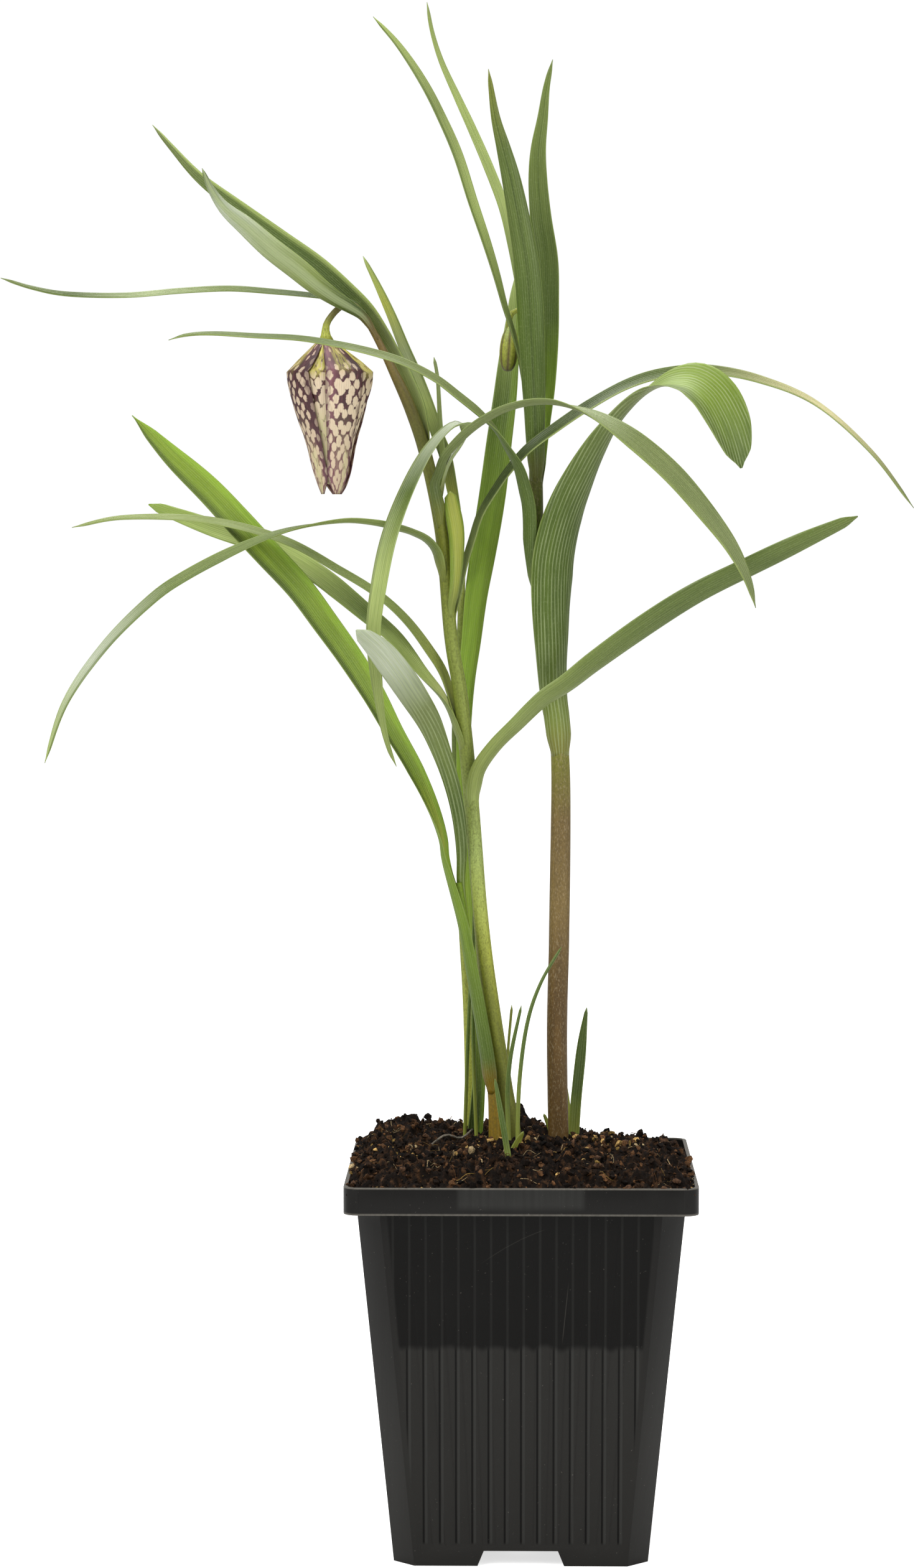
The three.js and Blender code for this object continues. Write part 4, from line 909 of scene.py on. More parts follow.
@dataclass(frozen=True)
class Stem:
    """A round stem along a route, with radii and tones spaced evenly from foot to top."""

    COLUMNS = 22
    ROW = 1.3
    FLARE_REACH = 1.5
    CAP_REACH = (2, 7)

    node: str
    route: tuple[Point, ...]
    radii: tuple[float, ...]
    tones: tuple[Tone, ...]
    slot: str = "stem_green"
    top_share: float = 1.0
    flare: float = 0.0
    cap: Tone | None = None

    def curve(self) -> Route:
        """The stem's centre line."""
        return Route(self.route)

    def at(self, height: float) -> tuple[Vector, Vector, float]:
        """The stem at a height.

        Args:
            height: Millimetres above the pot's foot.

        Returns:
            The centre, the direction and the radius there.
        """
        curve = self.curve()
        share = self.share_at(curve, height)
        return curve.at(share), curve.along(share), smooth_along(self.radii, share)

    def share_at(self, curve: Route, height: float) -> float:
        """How far along it the stem reaches a height.

        Args:
            curve: Its centre line.
            height: Millimetres above the pot's foot.

        Returns:
            The share of its length.
        """
        low, high = 0.0, self.top_share
        for _ in range(26):
            middle = (low + high) / 2
            if curve.at(middle).z < height:
                low = middle
            else:
                high = middle
        return low

    def tone_at(self, height: float) -> Vector:
        """The skin's colour at that height."""
        return blend_tones(self.tones, self.share_at(self.curve(), height))

    def shape(self) -> bmesh.types.BMesh:
        """Makes the stem's mesh, flared at its top where it carries a flower.

        Returns:
            The mesh.
        """
        curve = self.curve()
        rows = max(24, int(curve.length / self.ROW))
        frames = []
        across = Vector((1, 0, 0))
        for row in range(rows + 1):
            tangent = curve.along(row / rows)
            across = square(across, tangent)
            frames.append((curve.at(row / rows), across, tangent.cross(across)))

        def place(around: float, along: float) -> Vector:
            """Finds a point on the skin.

            Args:
                around: The share round.
                along: The share along.

            Returns:
                The point in millimetres.
            """
            centre, first, second = frames[round(along * rows)]
            angle = around * TURN
            radius = smooth_along(self.radii, along)
            radius += self.flare * math.exp((along - 1) * curve.length / self.FLARE_REACH)
            radius *= 1 + 0.03 * math.sin(3 * angle + centre.z * 0.09)
            return centre + first * (radius * math.cos(angle)) + second * (radius * math.sin(angle))

        def tint(around: float, along: float) -> Vector:
            """Tints the skin, with the cap's tone at the top.

            Args:
                around: The share round.
                along: The share along.

            Returns:
                The colour there.
            """
            colour = blend_tones(self.tones, along)
            if self.cap is None:
                return colour
            return colour.lerp(self.cap.light, 1 - smoothstep(*self.CAP_REACH, (1 - along) * curve.length))

        def chart(around: float, along: float) -> Point:
            """The map: the share round and the length along in decimetres."""
            return around, along * curve.length / 100

        return tube(self.COLUMNS, rows, place, tint, chart)


STEMS = (
    Stem(
        "stem_a", top_share=0.92, flare=1.1, cap=Tone.YELLOW,
        route=((-1.5, 11.5, 73.6), (-1.8, 9.5, 100), (-4.6, 8, 117.5), (-7.3, 7, 134.5), (-9.5, 6, 151),
            (-11.1, 5, 167.5), (-13.1, 4, 194), (-16, 4, 221.5), (-18.6, 3.5, 238), (-20.8, 2, 264),
            (-24.7, 0, 283.5), (-28.9, -1, 296.5), (-33.9, -2, 307.5), (-38.4, -3, 316.5),
            (-41.4, -4, 321.3), (-43.6, -5, 323.4), (-45.8, -5.6, 323.6), (-47.8, -6, 322.2),
            (-49.4, -6, 320.4), (-50.5, -6, 318.6), (-50.8, -6, 316.8), (-50.7, -6, 314.4)),
        radii=(2.1, 2.25, 2.4, 2.5, 2.5, 2.35, 2.1, 1.95, 1.95, 1.95, 1.95, 1.9, 1.8, 1.75, 1.75, 1.75,
            1.65, 1.5, 0.95, 0.85, 0.8),
        tones=palette("BROWN MOSS OLIVE YELLOW PALE REED REED OLIVE MOSS BARK MOSS"),
    ),
    Stem(
        "stem_b", slot="stem_brown",
        route=((9.9, 11.5, 73.6), (9.9, 10, 102), (9.5, 9.5, 134), (9.9, 9.5, 159), (10.4, 9.5, 200),
            (8.4, 9.5, 225), (5, 9.5, 249.5), (3.9, 9.5, 262.5), (3.8, 9.5, 274), (3.4, 9.5, 292),
            (3.2, 9.5, 304)),
        radii=(2.4, 2.7, 2.7, 2.7, 2.7, 2.7, 2.6, 2.4, 2.2, 2, 1.9, 1.7, 1.4),
        tones=palette("UMBER BROWN BROWN BROWN BARK BARK OLIVE MID MID MOSS DARK"),
    ),
    Stem(
        "stem_c",
        route=((-6.5, 1.2, 78.2), (-6.8, 3.4, 100), (-7.3, 4, 115.5), (-8.9, 3.4, 127), (-11.3, 2.6, 142),
            (-14.1, 1.8, 158), (-16.7, 1, 173)),
        radii=(1.7, 1.9, 1.6, 1.15, 1.1, 1.1, 1.1),
        tones=palette("GOLD GOLD GOLD LUSH LUSH LUSH"),
    ),
    Stem(
        "stem_d",
        route=((-14.1, 25, 71.5), (-14, 25.2, 102), (-14.1, 25.4, 124), (-14.7, 25.2, 141),
            (-15.8, 24.8, 160), (-16.3, 24.2, 183), (-17.6, 24, 208), (-17.2, 24, 219.5),
            (-16.2, 23.6, 240), (-16, 19, 254), (-16.4, 14.5, 263), (-17, 12.5, 270)),
        radii=(1.3, 1.2, 1.1, 1.1, 1, 1),
        tones=palette("UMBER YELLOW YELLOW REED MID MID REED YELLOW"),
    ),
)


# Blades


@dataclass(frozen=True)
class Coat:
    """How one face of a blade is coloured: tones from base to tip, margins, a stripe and a thin vein."""

    along: tuple[Tone, ...]
    left: Tone | None = None
    right: Tone | None = None
    stripe: Tone | None = None
    vein: Tone | None = None
    reach: float = 0.16

    def at(self, across: float, along: float) -> Vector:
        """The face's colour.

        Args:
            across: The share across.
            along: The share along.

        Returns:
            The colour there.
        """
        middle = abs(across - 0.5)
        washes = (
            (self.left, 0.85, 0.3 * self.reach, self.reach, across),
            (self.right, 0.85, 0.3 * self.reach, self.reach, 1 - across),
            (self.stripe, 0.8, 0.12, 0.26, middle),
            (self.vein, 0.6, 0.02, 0.09, middle),
        )
        colour = blend_tones(self.along, along)
        for tone, strength, full, clear, distance in washes:
            if tone:
                colour = colour.lerp(tone.light, strength * (1 - smoothstep(full, clear, distance)))
        return colour


@dataclass(frozen=True)
class Blade:
    """A channelled leaf. Widths, folds and faces are spaced evenly from its base to its tip.

    A leaf on a stem starts at its seats, heights on the stem, and clasps it from the azimuth.
    """

    CLASP = 6.0
    ROW = 1.4
    ROWS = (24, 150)
    LEAST_WIDTH = 0.7

    node: str
    route: tuple[Point, ...]
    widths: tuple[float, ...]
    folds: tuple[float, ...]
    faces: tuple[Point, ...]
    upper: Coat
    lower: Coat
    stem: str = ""
    seats: tuple[float, ...] = ()
    azimuth: float = 0.0
    columns: int = 12
    slot: str = "leaf_green"
    veined: bool = False

    def seat(self, stem: Stem, height: float) -> tuple[Vector, Vector, float]:
        """Where the keel lies against its stem.

        Args:
            stem: The stem that carries the leaf.
            height: Millimetres above the pot's foot.

        Returns:
            The keel's point, the direction to the stem's axis and the distance to it.
        """
        centre, tangent, radius = stem.at(height)
        angle = math.radians(self.azimuth)
        outward = square(Vector((math.cos(angle), math.sin(angle), 0)), tangent)
        reach = radius + FIT + BLADE / 2
        return centre + outward * reach, -outward, reach

    def shape(self, stems: dict[str, Stem]) -> bmesh.types.BMesh:
        """The leaf's mesh.

        Args:
            stems: The stems by node name.

        Returns:
            A thin closed sheet with fine edges and a pointed tip.
        """
        seated = [self.seat(stems[self.stem], height) for height in self.seats]
        curve = Route([*(seat[0] for seat in seated), *self.route])
        hints = [Vector(face).normalized() for face in self.faces]
        spans = list(self.widths)
        if seated:
            hints.insert(0, seated[0][1])
            spans.insert(0, 2 * seated[0][2] * math.radians(self.folds[0]))
        rows = max(self.ROWS[0], min(self.ROWS[1], int(curve.length / self.ROW)))
        frames = []
        for row in range(rows + 1):
            share = row / rows
            clear = smoothstep(0, self.CLASP, share * curve.length) if seated else 1.0
            sink = (FIT + 0.65 * BLADE) * (1 - clear)
            tangent = curve.along(share)
            upper = square(straight_along(hints, share), tangent)
            fold = math.radians(straight_along(self.folds, share))
            tip = math.sqrt(max(1 - smoothstep(0.965, 1.0, share), 0.02))
            span = max(smooth_along(spans, share), self.LEAST_WIDTH) * tip
            bend = span / (2 * fold) - sink
            thin = lerp(0.25, 1, clear) * max(tip, 0.35)
            keel = curve.at(share) + upper * sink
            frames.append((keel, upper, upper.cross(tangent), fold, bend, thin, span))
        skin = stems[self.stem].tone_at(self.seats[0]) if seated else None

        def place(across: float, along: float, side: int) -> Vector:
            """Finds a point on a face.

            Args:
                across: The share across.
                along: The share along.
                side: 1 for the upper face and -1 for the lower.

            Returns:
                The point in millimetres.
            """
            keel, upper, aside, fold, bend, thin, _ = frames[round(along * rows)]
            lens = 1 - margin(across, along) ** 3
            angle = (across - 0.5) * 2 * fold
            arm = bend - side * BLADE / 2 * (0.22 + 0.78 * lens) * thin
            return keel + upper * (bend - arm * math.cos(angle)) + aside * (arm * math.sin(angle))

        def tint(across: float, along: float, side: int) -> Vector:
            """Tints a face, from its stem's own colour on.

            Args:
                across: The share across.
                along: The share along.
                side: 1 for the upper face and -1 for the lower.

            Returns:
                The colour there.
            """
            colour = (self.upper if side > 0 else self.lower).at(across, along)
            if skin is None:
                return colour
            return skin.lerp(colour, smoothstep(0.3 * self.CLASP, 1.8 * self.CLASP, along * curve.length))

        def chart(across: float, along: float) -> Point:
            """The map, in centimetres."""
            return (across - 0.5) * frames[round(along * rows)][-1] / 10, along * curve.length / 10

        return shell(self.columns, rows, place, tint, chart, {"edge": margin})


# The tones along each face hold the leaf's own colour and painted shade: their dark stretches paint shade
# where a leaf lies in shadow.
BLADES = (
    Blade(
        "leaf_a1", stem="stem_a", seats=(193, 196.5), azimuth=-52,
        route=((-10.6, 0.2, 202.6), (-6.6, -1.2, 208.7), (-1.2, -2.4, 214.3), (5.6, -3.4, 220.9),
            (12.1, -4.2, 225.4), (19.6, -5, 231.4), (32.6, -8, 240.9), (45, -11, 248.9), (58, -13, 255.5),
            (71, -16, 261.9), (78.5, -17, 265.4), (86, -18, 268.8)),
        widths=(5.2, 6.2, 6.7, 6.6, 5.8, 5.2, 2.4), folds=(75, 34, 24, 20, 18, 16),
        faces=((-0.5, 0.8, 0.5), (-0.35, 0.9, 0.35), (-0.25, 0.9, 0.3), (-0.15, 0.9, 0.3)),
        upper=Coat(palette("SAGE MID FERN FERN FERN")),
        lower=Coat(palette("REED SAGE MID FERN FERN MID")),
    ),
    Blade(
        "leaf_a2", stem="stem_a", seats=(208, 211.5), azimuth=200,
        route=((-18.8, 2.2, 217), (-21.4, 1.6, 222), (-26.6, 1.2, 228.2), (-33.1, 1, 236.6),
            (-40.5, 1.5, 243.1), (-52.8, 2.5, 253.2), (-65, 4, 260.3), (-81, 5, 265.8), (-98, 7, 272.1)),
        widths=(5.6, 5.8, 6, 6, 5.7, 5, 2.6), folds=(62, 34, 26, 22, 18, 16),
        faces=((0.5, -0.5, 0.5), (0.2, -0.8, 0.4), (0.2, -0.8, 0.4), (0.1, -0.8, 0.4)),
        upper=Coat(palette("BONE PALE FERN PALE PALE LEAF")),
        lower=Coat(palette("SAGE MID")),
    ),
    Blade(
        "leaf_a3", stem="stem_a", seats=(214, 218), azimuth=160,
        route=((-20.6, 5.8, 227), (-24.8, 3, 234.2), (-30.5, -1, 242), (-37.5, -4, 248.5), (-47, -6, 254.5),
            (-62, -8, 262.7), (-81.5, -10, 267.8), (-102.5, -12, 268.5), (-116, -13, 266)),
        widths=(4.4, 3.5, 3.3, 3.2, 2.9, 2, 0.8), folds=(38, 28, 24, 20, 20),
        faces=((0.4, -0.6, 0.6), (0.2, -0.6, 0.75), (0.1, -0.65, 0.75), (0, -0.7, 0.7)),
        upper=Coat(palette("YELLOW SAGE MID SAGE SAGE")),
        lower=Coat(palette("MID GREY")),
    ),
    Blade(
        "leaf_a4", stem="stem_a", seats=(252, 254.5), azimuth=226,
        route=((-22.3, -1, 259), (-24.5, -4, 262.2), (-27.5, -6.5, 264), (-31.5, -9, 265.4),
            (-38.5, -11, 267), (-47, -12.5, 267.4), (-60, -14, 265.2), (-73.4, -15, 260.2),
            (-86.8, -17, 253.2), (-95.5, -18, 247), (-107, -19, 235.5), (-117, -20, 221.2),
            (-122.6, -20, 205.5)),
        widths=(4, 3.4, 3.2, 3.3, 3.4, 3.1, 2.4, 0.9), folds=(50, 30, 24, 20, 20),
        faces=((0.3, 0.3, 0.8), (0, -0.8, 0.6), (-0.35, -0.8, 0.5), (-0.55, -0.8, 0.25)),
        upper=Coat(palette("SAGE MID MID MID FROST PALE"), right=Tone.FERN, reach=0.3),
        lower=Coat(palette("MID SAGE GREY FERN")),
    ),
    Blade(
        "leaf_a5", stem="stem_a", seats=(240.5, 244), azimuth=30,
        route=((-15.6, 5.2, 252), (-14.6, 5.4, 256.5), (-12.8, 5.4, 262.5), (-10.5, 5.2, 269.5),
            (-6.6, 4.6, 276), (-2.9, 3.6, 281.2), (2, 1.6, 286.5), (9, 1.6, 291.8), (18, 4, 297.9),
            (28, 8, 303.4), (37.5, 10, 306.3), (49, 11, 307.2), (62.5, 13, 304.8), (77.5, 15, 298.6),
            (92.3, 17, 285.9), (103.7, 18, 271.2)),
        widths=(3.2, 3.4, 3.8, 3.8, 3.6, 3, 2.2, 1.6, 0.9), folds=(48, 34, 28, 24, 22),
        faces=((-0.7, -0.6, 0.4), (-0.5, -0.75, 0.4), (-0.35, -0.8, 0.5), (0, -0.65, 0.75),
            (0.4, -0.7, 0.6)),
        upper=Coat(palette("PALE INK INK FERN BONE FERN"), left=Tone.SAGE, reach=0.2),
        lower=Coat(palette("SAGE GREY GREY")),
    ),
    Blade(
        "leaf_a6", stem="stem_a", seats=(266, 270), azimuth=-72, slot="leaf_grey",
        route=((-22.4, -3, 276.6), (-21.4, -5.4, 280), (-20, -8.6, 283.8), (-17.5, -12.6, 286.8),
            (-13.7, -16.4, 290.4), (-9.2, -18.8, 293.5), (-3.8, -20, 296.1), (3.5, -20.8, 297.6),
            (10.5, -21.2, 297), (19, -22, 293.8), (28.5, -23, 287.7), (38.1, -24.2, 279.4),
            (46.2, -25.5, 270.2), (53, -26, 261.2), (57.2, -26.5, 253), (59.5, -27, 245.5)),
        widths=(2.8, 3, 3.6, 5.2, 6.8, 7, 5.9, 4, 0.9), folds=(58, 36, 28, 24, 22, 20),
        faces=((-0.3, 0.8, 0.4), (-0.3, 0.3, 0.9), (0.2, -0.7, 0.65), (0.3, -0.85, 0.4), (0.5, -0.8, 0.3)),
        upper=Coat(palette("FERN SAGE SILVER GREY GREY GREY"), left=Tone.SAGE),
        lower=Coat(palette("FERN GREY GREY GREY GREY")),
    ),
    Blade(
        "leaf_a7", stem="stem_a", seats=(272, 275.5), azimuth=-8, slot="leaf_grey",
        route=((-19.8, -0.6, 280), (-18.2, -1.4, 283.8), (-15.6, -2.4, 287.6), (-14, -4, 291),
            (-15.2, -6, 292.7), (-18.2, -7.2, 291.9), (-21.9, -8.4, 288.3), (-25.2, -9.8, 283.6),
            (-28.7, -11.8, 276.8), (-32.1, -13.8, 268.6), (-34.6, -15.6, 260.6), (-36.7, -17.2, 250),
            (-37.9, -18, 240), (-37.4, -18, 229), (-35.9, -18, 217), (-34.2, -17.6, 209.5),
            (-32.2, -17, 204.5)),
        widths=(3.6, 4.4, 5, 5.2, 5, 4.4, 3.6, 2, 0.8), folds=(34, 30, 26, 24, 24),
        faces=((-0.3, -0.3, 0.9), (-0.5, -0.7, 0.5), (-0.4, -0.9, 0.15), (-0.25, -0.95, 0.1),
            (-0.2, -1, 0.1)),
        upper=Coat(palette("FROST FROST DEEP PALE SAGE SAGE"), left=Tone.GREY),
        lower=Coat(palette("SILVER PALE SAGE")),
    ),
    Blade(
        "leaf_a8", stem="stem_a", seats=(285, 288), azimuth=48,
        route=((-25.4, 1.3, 294), (-26.4, 1.4, 298.5), (-28.7, 1.3, 304), (-31.3, 1, 309.4),
            (-34.9, 0.6, 315.5), (-39.4, 0.4, 321.5), (-45.2, 1.4, 327.2), (-52.9, 3, 334), (-63, 5, 341.3),
            (-73.4, 7, 348.9), (-84.2, 9, 357.3), (-91.6, 11, 365.2), (-97, 12, 371.5)),
        widths=(5, 5.2, 5.2, 4.9, 4.2, 2.6, 0.8), folds=(55, 32, 24, 20, 18),
        faces=((-0.8, -0.4, 0.3), (-0.5, -0.8, 0.2), (-0.3, -0.9, 0), (-0.3, -0.9, -0.1)),
        upper=Coat(palette("PALE SAGE DARK DEEP FERN GREY"), left=Tone.PALE, reach=0.3),
        lower=Coat(palette("DEEP DEEP")),
    ),
    Blade(
        "leaf_a9", stem="stem_a", seats=(314.6, 316.6), azimuth=-84, slot="leaf_grey",
        route=((-41, -6.6, 320.4), (-44.4, -8.8, 322.7), (-47.9, -10.2, 324.7), (-52.3, -11.8, 327.7),
            (-57.8, -13.2, 332.2), (-64.3, -15, 337.2), (-70.4, -16.2, 342.6), (-76, -17.2, 347.4),
            (-79.5, -18.2, 352.4), (-81.6, -19, 357.4)),
        widths=(2.6, 4.2, 5.7, 6.1, 5.7, 4.6, 2.4, 0.8), folds=(30, 26, 22, 20),
        faces=((-0.3, 0.8, 0.5), (-0.3, 0.8, 0.5), (-0.3, 0.8, 0.5)),
        upper=Coat(palette("INK GREY SILVER SILVER MID")),
        lower=Coat(palette("INK DARK SAGE SILVER FROST FERN"), stripe=Tone.SILVER),
    ),
    Blade(
        "leaf_a10", slot="leaf_grey",
        route=((-40.4, -1.2, 320.8), (-43, -1.4, 323.8), (-46, -1.6, 324.8), (-50, -1.4, 325.5),
            (-55.5, -1, 326.2), (-64.5, 0, 327.1), (-76, 0, 327.9), (-88.5, -1, 327.3), (-103, -2, 326.1),
            (-118, -3, 326.4), (-127, -4, 328), (-135, -5, 330.5)),
        widths=(1.8, 2.1, 2.2, 2.1, 1.9, 1.7, 0.8), folds=(26, 24, 22),
        faces=((0.2, -0.6, 0.7), (0, -0.75, 0.65), (0, -0.75, 0.65)),
        upper=Coat(palette("INK DARK MID SILVER DARK GREY")),
        lower=Coat(palette("GREY MID DEEP")),
    ),
    Blade(
        "leaf_a11", stem="stem_a", seats=(242.5, 246), azimuth=-50,
        route=((-16.9, -0.1, 253), (-16.6, 0, 259), (-16.7, 0, 264.5), (-17.6, 0, 270), (-18.7, 0, 275.4)),
        widths=(3.4, 4.2, 4.9, 5, 3.2), folds=(32, 36, 34, 30),
        faces=((-0.6, 0.8, 0), (-0.5, 0.85, 0), (-0.4, 0.9, 0)),
        upper=Coat(palette("REED YELLOW YELLOW")),
        lower=Coat(palette("OLIVE REED YELLOW YELLOW"), Tone.LEAF, Tone.LEAF, Tone.YELLOW, reach=0.3),
    ),
    Blade(
        "leaf_a12", stem="stem_a", seats=(269, 271.5), azimuth=82, slot="leaf_grey",
        route=((-20.9, 4.6, 277), (-20.5, 5, 282), (-20.9, 5.2, 287.5), (-21.4, 5.2, 293.5),
            (-22, 5.4, 304.5), (-23, 5.8, 310.5)),
        widths=(1.4, 1.5, 1.4, 1.2, 1, 0.8), folds=(24, 24),
        faces=((0.2, -1, 0), (0.2, -1, 0)),
        upper=Coat(palette("MID SAGE GREY")),
        lower=Coat(palette("MID SAGE GREY")),
    ),
    Blade(
        "leaf_b1", stem="stem_b", seats=(206, 209, 212.5, 217, 222.5), azimuth=-64, slot="leaf_grey",
        veined=True, columns=24,
        route=((9.5, 4, 235), (9.2, 3.6, 246), (9.5, 3.2, 256), (10.9, 2.8, 264), (13.2, 2.4, 271.3),
            (16, 2, 277.7), (19.8, 1, 285.2), (24, 0, 292.3), (28.6, -1.2, 297.7), (33.3, -2.2, 301.4),
            (38.6, -4, 303.6), (44.2, -6, 303.4), (48.8, -8, 300), (52.1, -9.5, 294.6),
            (54.3, -10.5, 288.9), (56.5, -11, 281.2)),
        widths=(12, 12.6, 13.6, 14.4, 14, 12.4, 10, 7, 9.5, 14, 13, 5.5),
        folds=(118, 98, 74, 60, 55, 60, 55, 30, 24, 20),
        faces=((-0.5, 0.85, 0), (-0.4, 0.9, 0), (-0.5, 0.8, 0.2), (-0.5, 0.4, 0.7), (0.2, -0.8, 0.55),
            (0.5, -0.8, 0.2)),
        upper=Coat(palette("MID MID MID SILVER LEAF DEEP"), left=Tone.FERN, reach=0.3),
        lower=Coat(palette("REED FERN DEEP DEEP FERN GREY SILVER PALE")),
    ),
    Blade(
        "leaf_b2", stem="stem_b", seats=(248, 252), azimuth=205,
        route=((1.4, 5.8, 261), (1.4, 4.4, 265.5), (1.2, 3, 271.5), (0, 1, 277), (-1.5, -1.2, 281.8),
            (-4, -4, 286.1), (-7, -6.4, 291), (-11, -8.4, 295), (-16.5, -10.2, 299.5), (-22.4, -12, 304),
            (-30.2, -14, 308), (-38, -16, 310.5), (-47, -18, 312.5), (-57, -21, 314), (-68, -24, 314.5),
            (-78.5, -26.5, 315), (-85, -28, 314.6), (-89.5, -29, 313.3)),
        widths=(6, 5, 4.7, 4.2, 3.5, 3, 2.6, 2.2, 1.8, 0.8), folds=(66, 46, 36, 30, 26, 24),
        faces=((0.5, 0.6, 0.6), (0.4, -0.5, 0.75), (0.25, -0.7, 0.7), (0, -0.65, 0.75),
            (-0.1, -0.65, 0.75)),
        upper=Coat(palette("GREY INK GREY GREY FERN MID"), right=Tone.SAGE),
        lower=Coat(palette("DEEP DEEP SAGE GREY")),
    ),
    Blade(
        "leaf_b3", stem="stem_b", seats=(295, 298), azimuth=186,
        route=((0, 8, 305.5), (-1, 6.6, 311), (-2.4, 4.4, 316.5), (-4.6, 1.2, 323), (-7, -1.8, 331.5),
            (-9.7, -4.2, 340), (-13.1, -7, 350), (-16.7, -9.2, 361.4), (-20.6, -11.4, 370.4),
            (-25.2, -13.4, 379.3), (-31.4, -14.8, 388.6), (-38, -16, 396)),
        widths=(2.8, 3.4, 3.9, 3.7, 3.1, 2.4, 0.8), folds=(30, 34, 34, 30, 24),
        faces=((0.7, -0.5, 0.3), (0.6, -0.8, 0.1), (0.5, -0.9, 0.1)),
        upper=Coat(palette("DARK MID PALE SAGE PALE"), right=Tone.FERN, reach=0.3),
        lower=Coat(palette("DARK MID GREY")),
    ),
    Blade(
        "leaf_b4", stem="stem_b", seats=(296, 299), azimuth=128,
        route=((1, 13, 308), (0.8, 13.2, 318), (-0.7, 12.4, 329.5), (-2.7, 11.2, 340.5), (-5, 10.2, 350),
            (-9, 9.4, 360.4), (-13.2, 8.6, 370), (-17, 8, 378.2), (-21.1, 7.4, 387.3), (-23.5, 6.8, 395),
            (-24.8, 6.2, 402.5)),
        widths=(2.4, 2.6, 3, 3, 2.5, 1.6, 0.8), folds=(24, 26, 26, 24),
        faces=((0.4, -0.9, 0.1), (0.4, -0.9, 0.1), (0.4, -0.9, 0.1)),
        upper=Coat(palette("DEEP FERN PALE PALE SAGE")),
        lower=Coat(palette("MID GREY")),
    ),
    Blade(
        "leaf_b5", stem="stem_b", seats=(278, 282), azimuth=-82, slot="leaf_grey",
        route=((3.6, 5.4, 290), (3.4, 4, 297), (3, 2, 305), (2.6, 0.6, 314), (2.1, 0.2, 324), (1.1, 0, 335),
            (-0.8, 0, 346), (-2.8, -0.5, 356), (-4.8, -1, 364), (-6.8, -2, 371.5), (-8, -2.5, 379),
            (-8.7, -3, 384.2)),
        widths=(5.8, 6.8, 7.4, 7.2, 6.2, 4.9, 2.6, 0.7), folds=(58, 44, 38, 34, 28),
        faces=((0, 1, 0.1), (0, 1, 0.1), (0.1, 1, 0)),
        upper=Coat(palette("MID MID"), stripe=Tone.GREY),
        lower=Coat(palette("DARK DEEP DEEP FERN FERN OLIVE"), vein=Tone.INK),
    ),
    Blade(
        "leaf_b6", stem="stem_b", seats=(276.5, 280), azimuth=56, slot="leaf_grey",
        route=((5.2, 13.8, 287), (5.6, 14.8, 294), (6.2, 15.8, 303), (6.4, 16.6, 313), (6.5, 17, 324.5),
            (6.5, 17, 336), (5, 17, 347.5), (4.2, 17, 357.5), (4.3, 16.5, 365.5), (5.4, 16, 373.5),
            (6.4, 15.5, 381.5), (8, 15, 388.7)),
        widths=(5, 6.5, 7.4, 6.9, 6, 4.8, 2.7, 0.8), folds=(46, 36, 32, 28, 24),
        faces=((-0.2, -1, 0), (-0.1, -1, 0), (0, -1, 0)),
        upper=Coat(palette("FRESH FRESH DEEP FERN MID MID"), vein=Tone.DARK),
        lower=Coat(palette("MID DEEP")),
    ),
    Blade(
        "leaf_c1", stem="stem_c", seats=(117, 128, 140, 152, 163), azimuth=196, columns=20,
        route=((-20.4, 0, 178), (-21.3, -0.4, 184.8), (-24, -0.9, 193.3), (-28.4, -1.4, 203.2),
            (-33.9, -1.8, 213), (-39, -2.2, 222.5), (-45, -2.7, 232), (-51.4, -3.2, 241), (-58, -3.6, 250),
            (-65.9, -4, 258.6), (-73.6, -4.5, 267), (-81.7, -5, 275.7), (-91.5, -5.5, 285),
            (-101, -6, 295)),
        widths=(8.6, 8.2, 6.8, 5.7, 5.8, 7.2, 7.8, 8, 8.2, 6.7, 1.6),
        folds=(132, 118, 96, 48, 36, 32, 30, 28, 26, 24),
        faces=((0.9, 0.1, 0.1), (0.9, 0, 0.2), (0.5, -0.8, 0.3), (0.35, -0.85, 0.3), (0.3, -0.9, 0.3),
            (0.3, -0.9, 0.3), (0.3, -0.9, 0.3)),
        # Painted light and shade: the two halves of the fold are washed lighter and darker towards their
        # margins.
        upper=Coat(palette("LUSH LEAF YELLOW LEAF LEAF LEAF LEAF LEAF"), left=Tone.FRESH, right=Tone.DARK,
            vein=Tone.LUSH, reach=0.35),
        lower=Coat(palette("DEEP LUSH LEAF LEAF FERN")),
    ),
    Blade(
        "leaf_c2", slot="leaf_grey", veined=True,
        route=((-14.6, 1.7, 165), (-15.5, 1.7, 172.5), (-15.3, 1.2, 180), (-15.7, -0.2, 186.5),
            (-16.7, -2.6, 193), (-18.3, -6, 200), (-20.7, -10, 207.7), (-23.7, -14, 215.3),
            (-27.7, -18, 222.2), (-31.8, -21.8, 228.5), (-36.8, -25.8, 235), (-42, -29.4, 239.9)),
        widths=(2.4, 3.2, 3.9, 4.2, 4.8, 5.9, 7.4, 8, 7.2, 3.6), folds=(70, 60, 44, 36, 32, 30),
        faces=((-0.6, 0.6, 0.3), (-0.2, 0.8, 0.5), (-0.1, 0.85, 0.5), (-0.1, 0.85, 0.5)),
        upper=Coat(palette("GREY GREY SILVER")),
        lower=Coat(palette("LEAF FERN DEEP MID GREY FROST FROST")),
    ),
    Blade(
        "leaf_d1",
        route=((-17.2, 12.5, 270.6), (-18.2, 12.8, 276), (-20, 13, 285), (-22.1, 13.5, 290.5),
            (-24.2, 14, 297), (-27.2, 14.5, 305), (-30.8, 15, 313.2), (-34.3, 16, 321.8), (-38, 17, 329.8),
            (-42, 18, 337.6)),
        widths=(2.8, 3.6, 3.6, 3.4, 3, 2.2, 0.8), folds=(30, 28, 26),
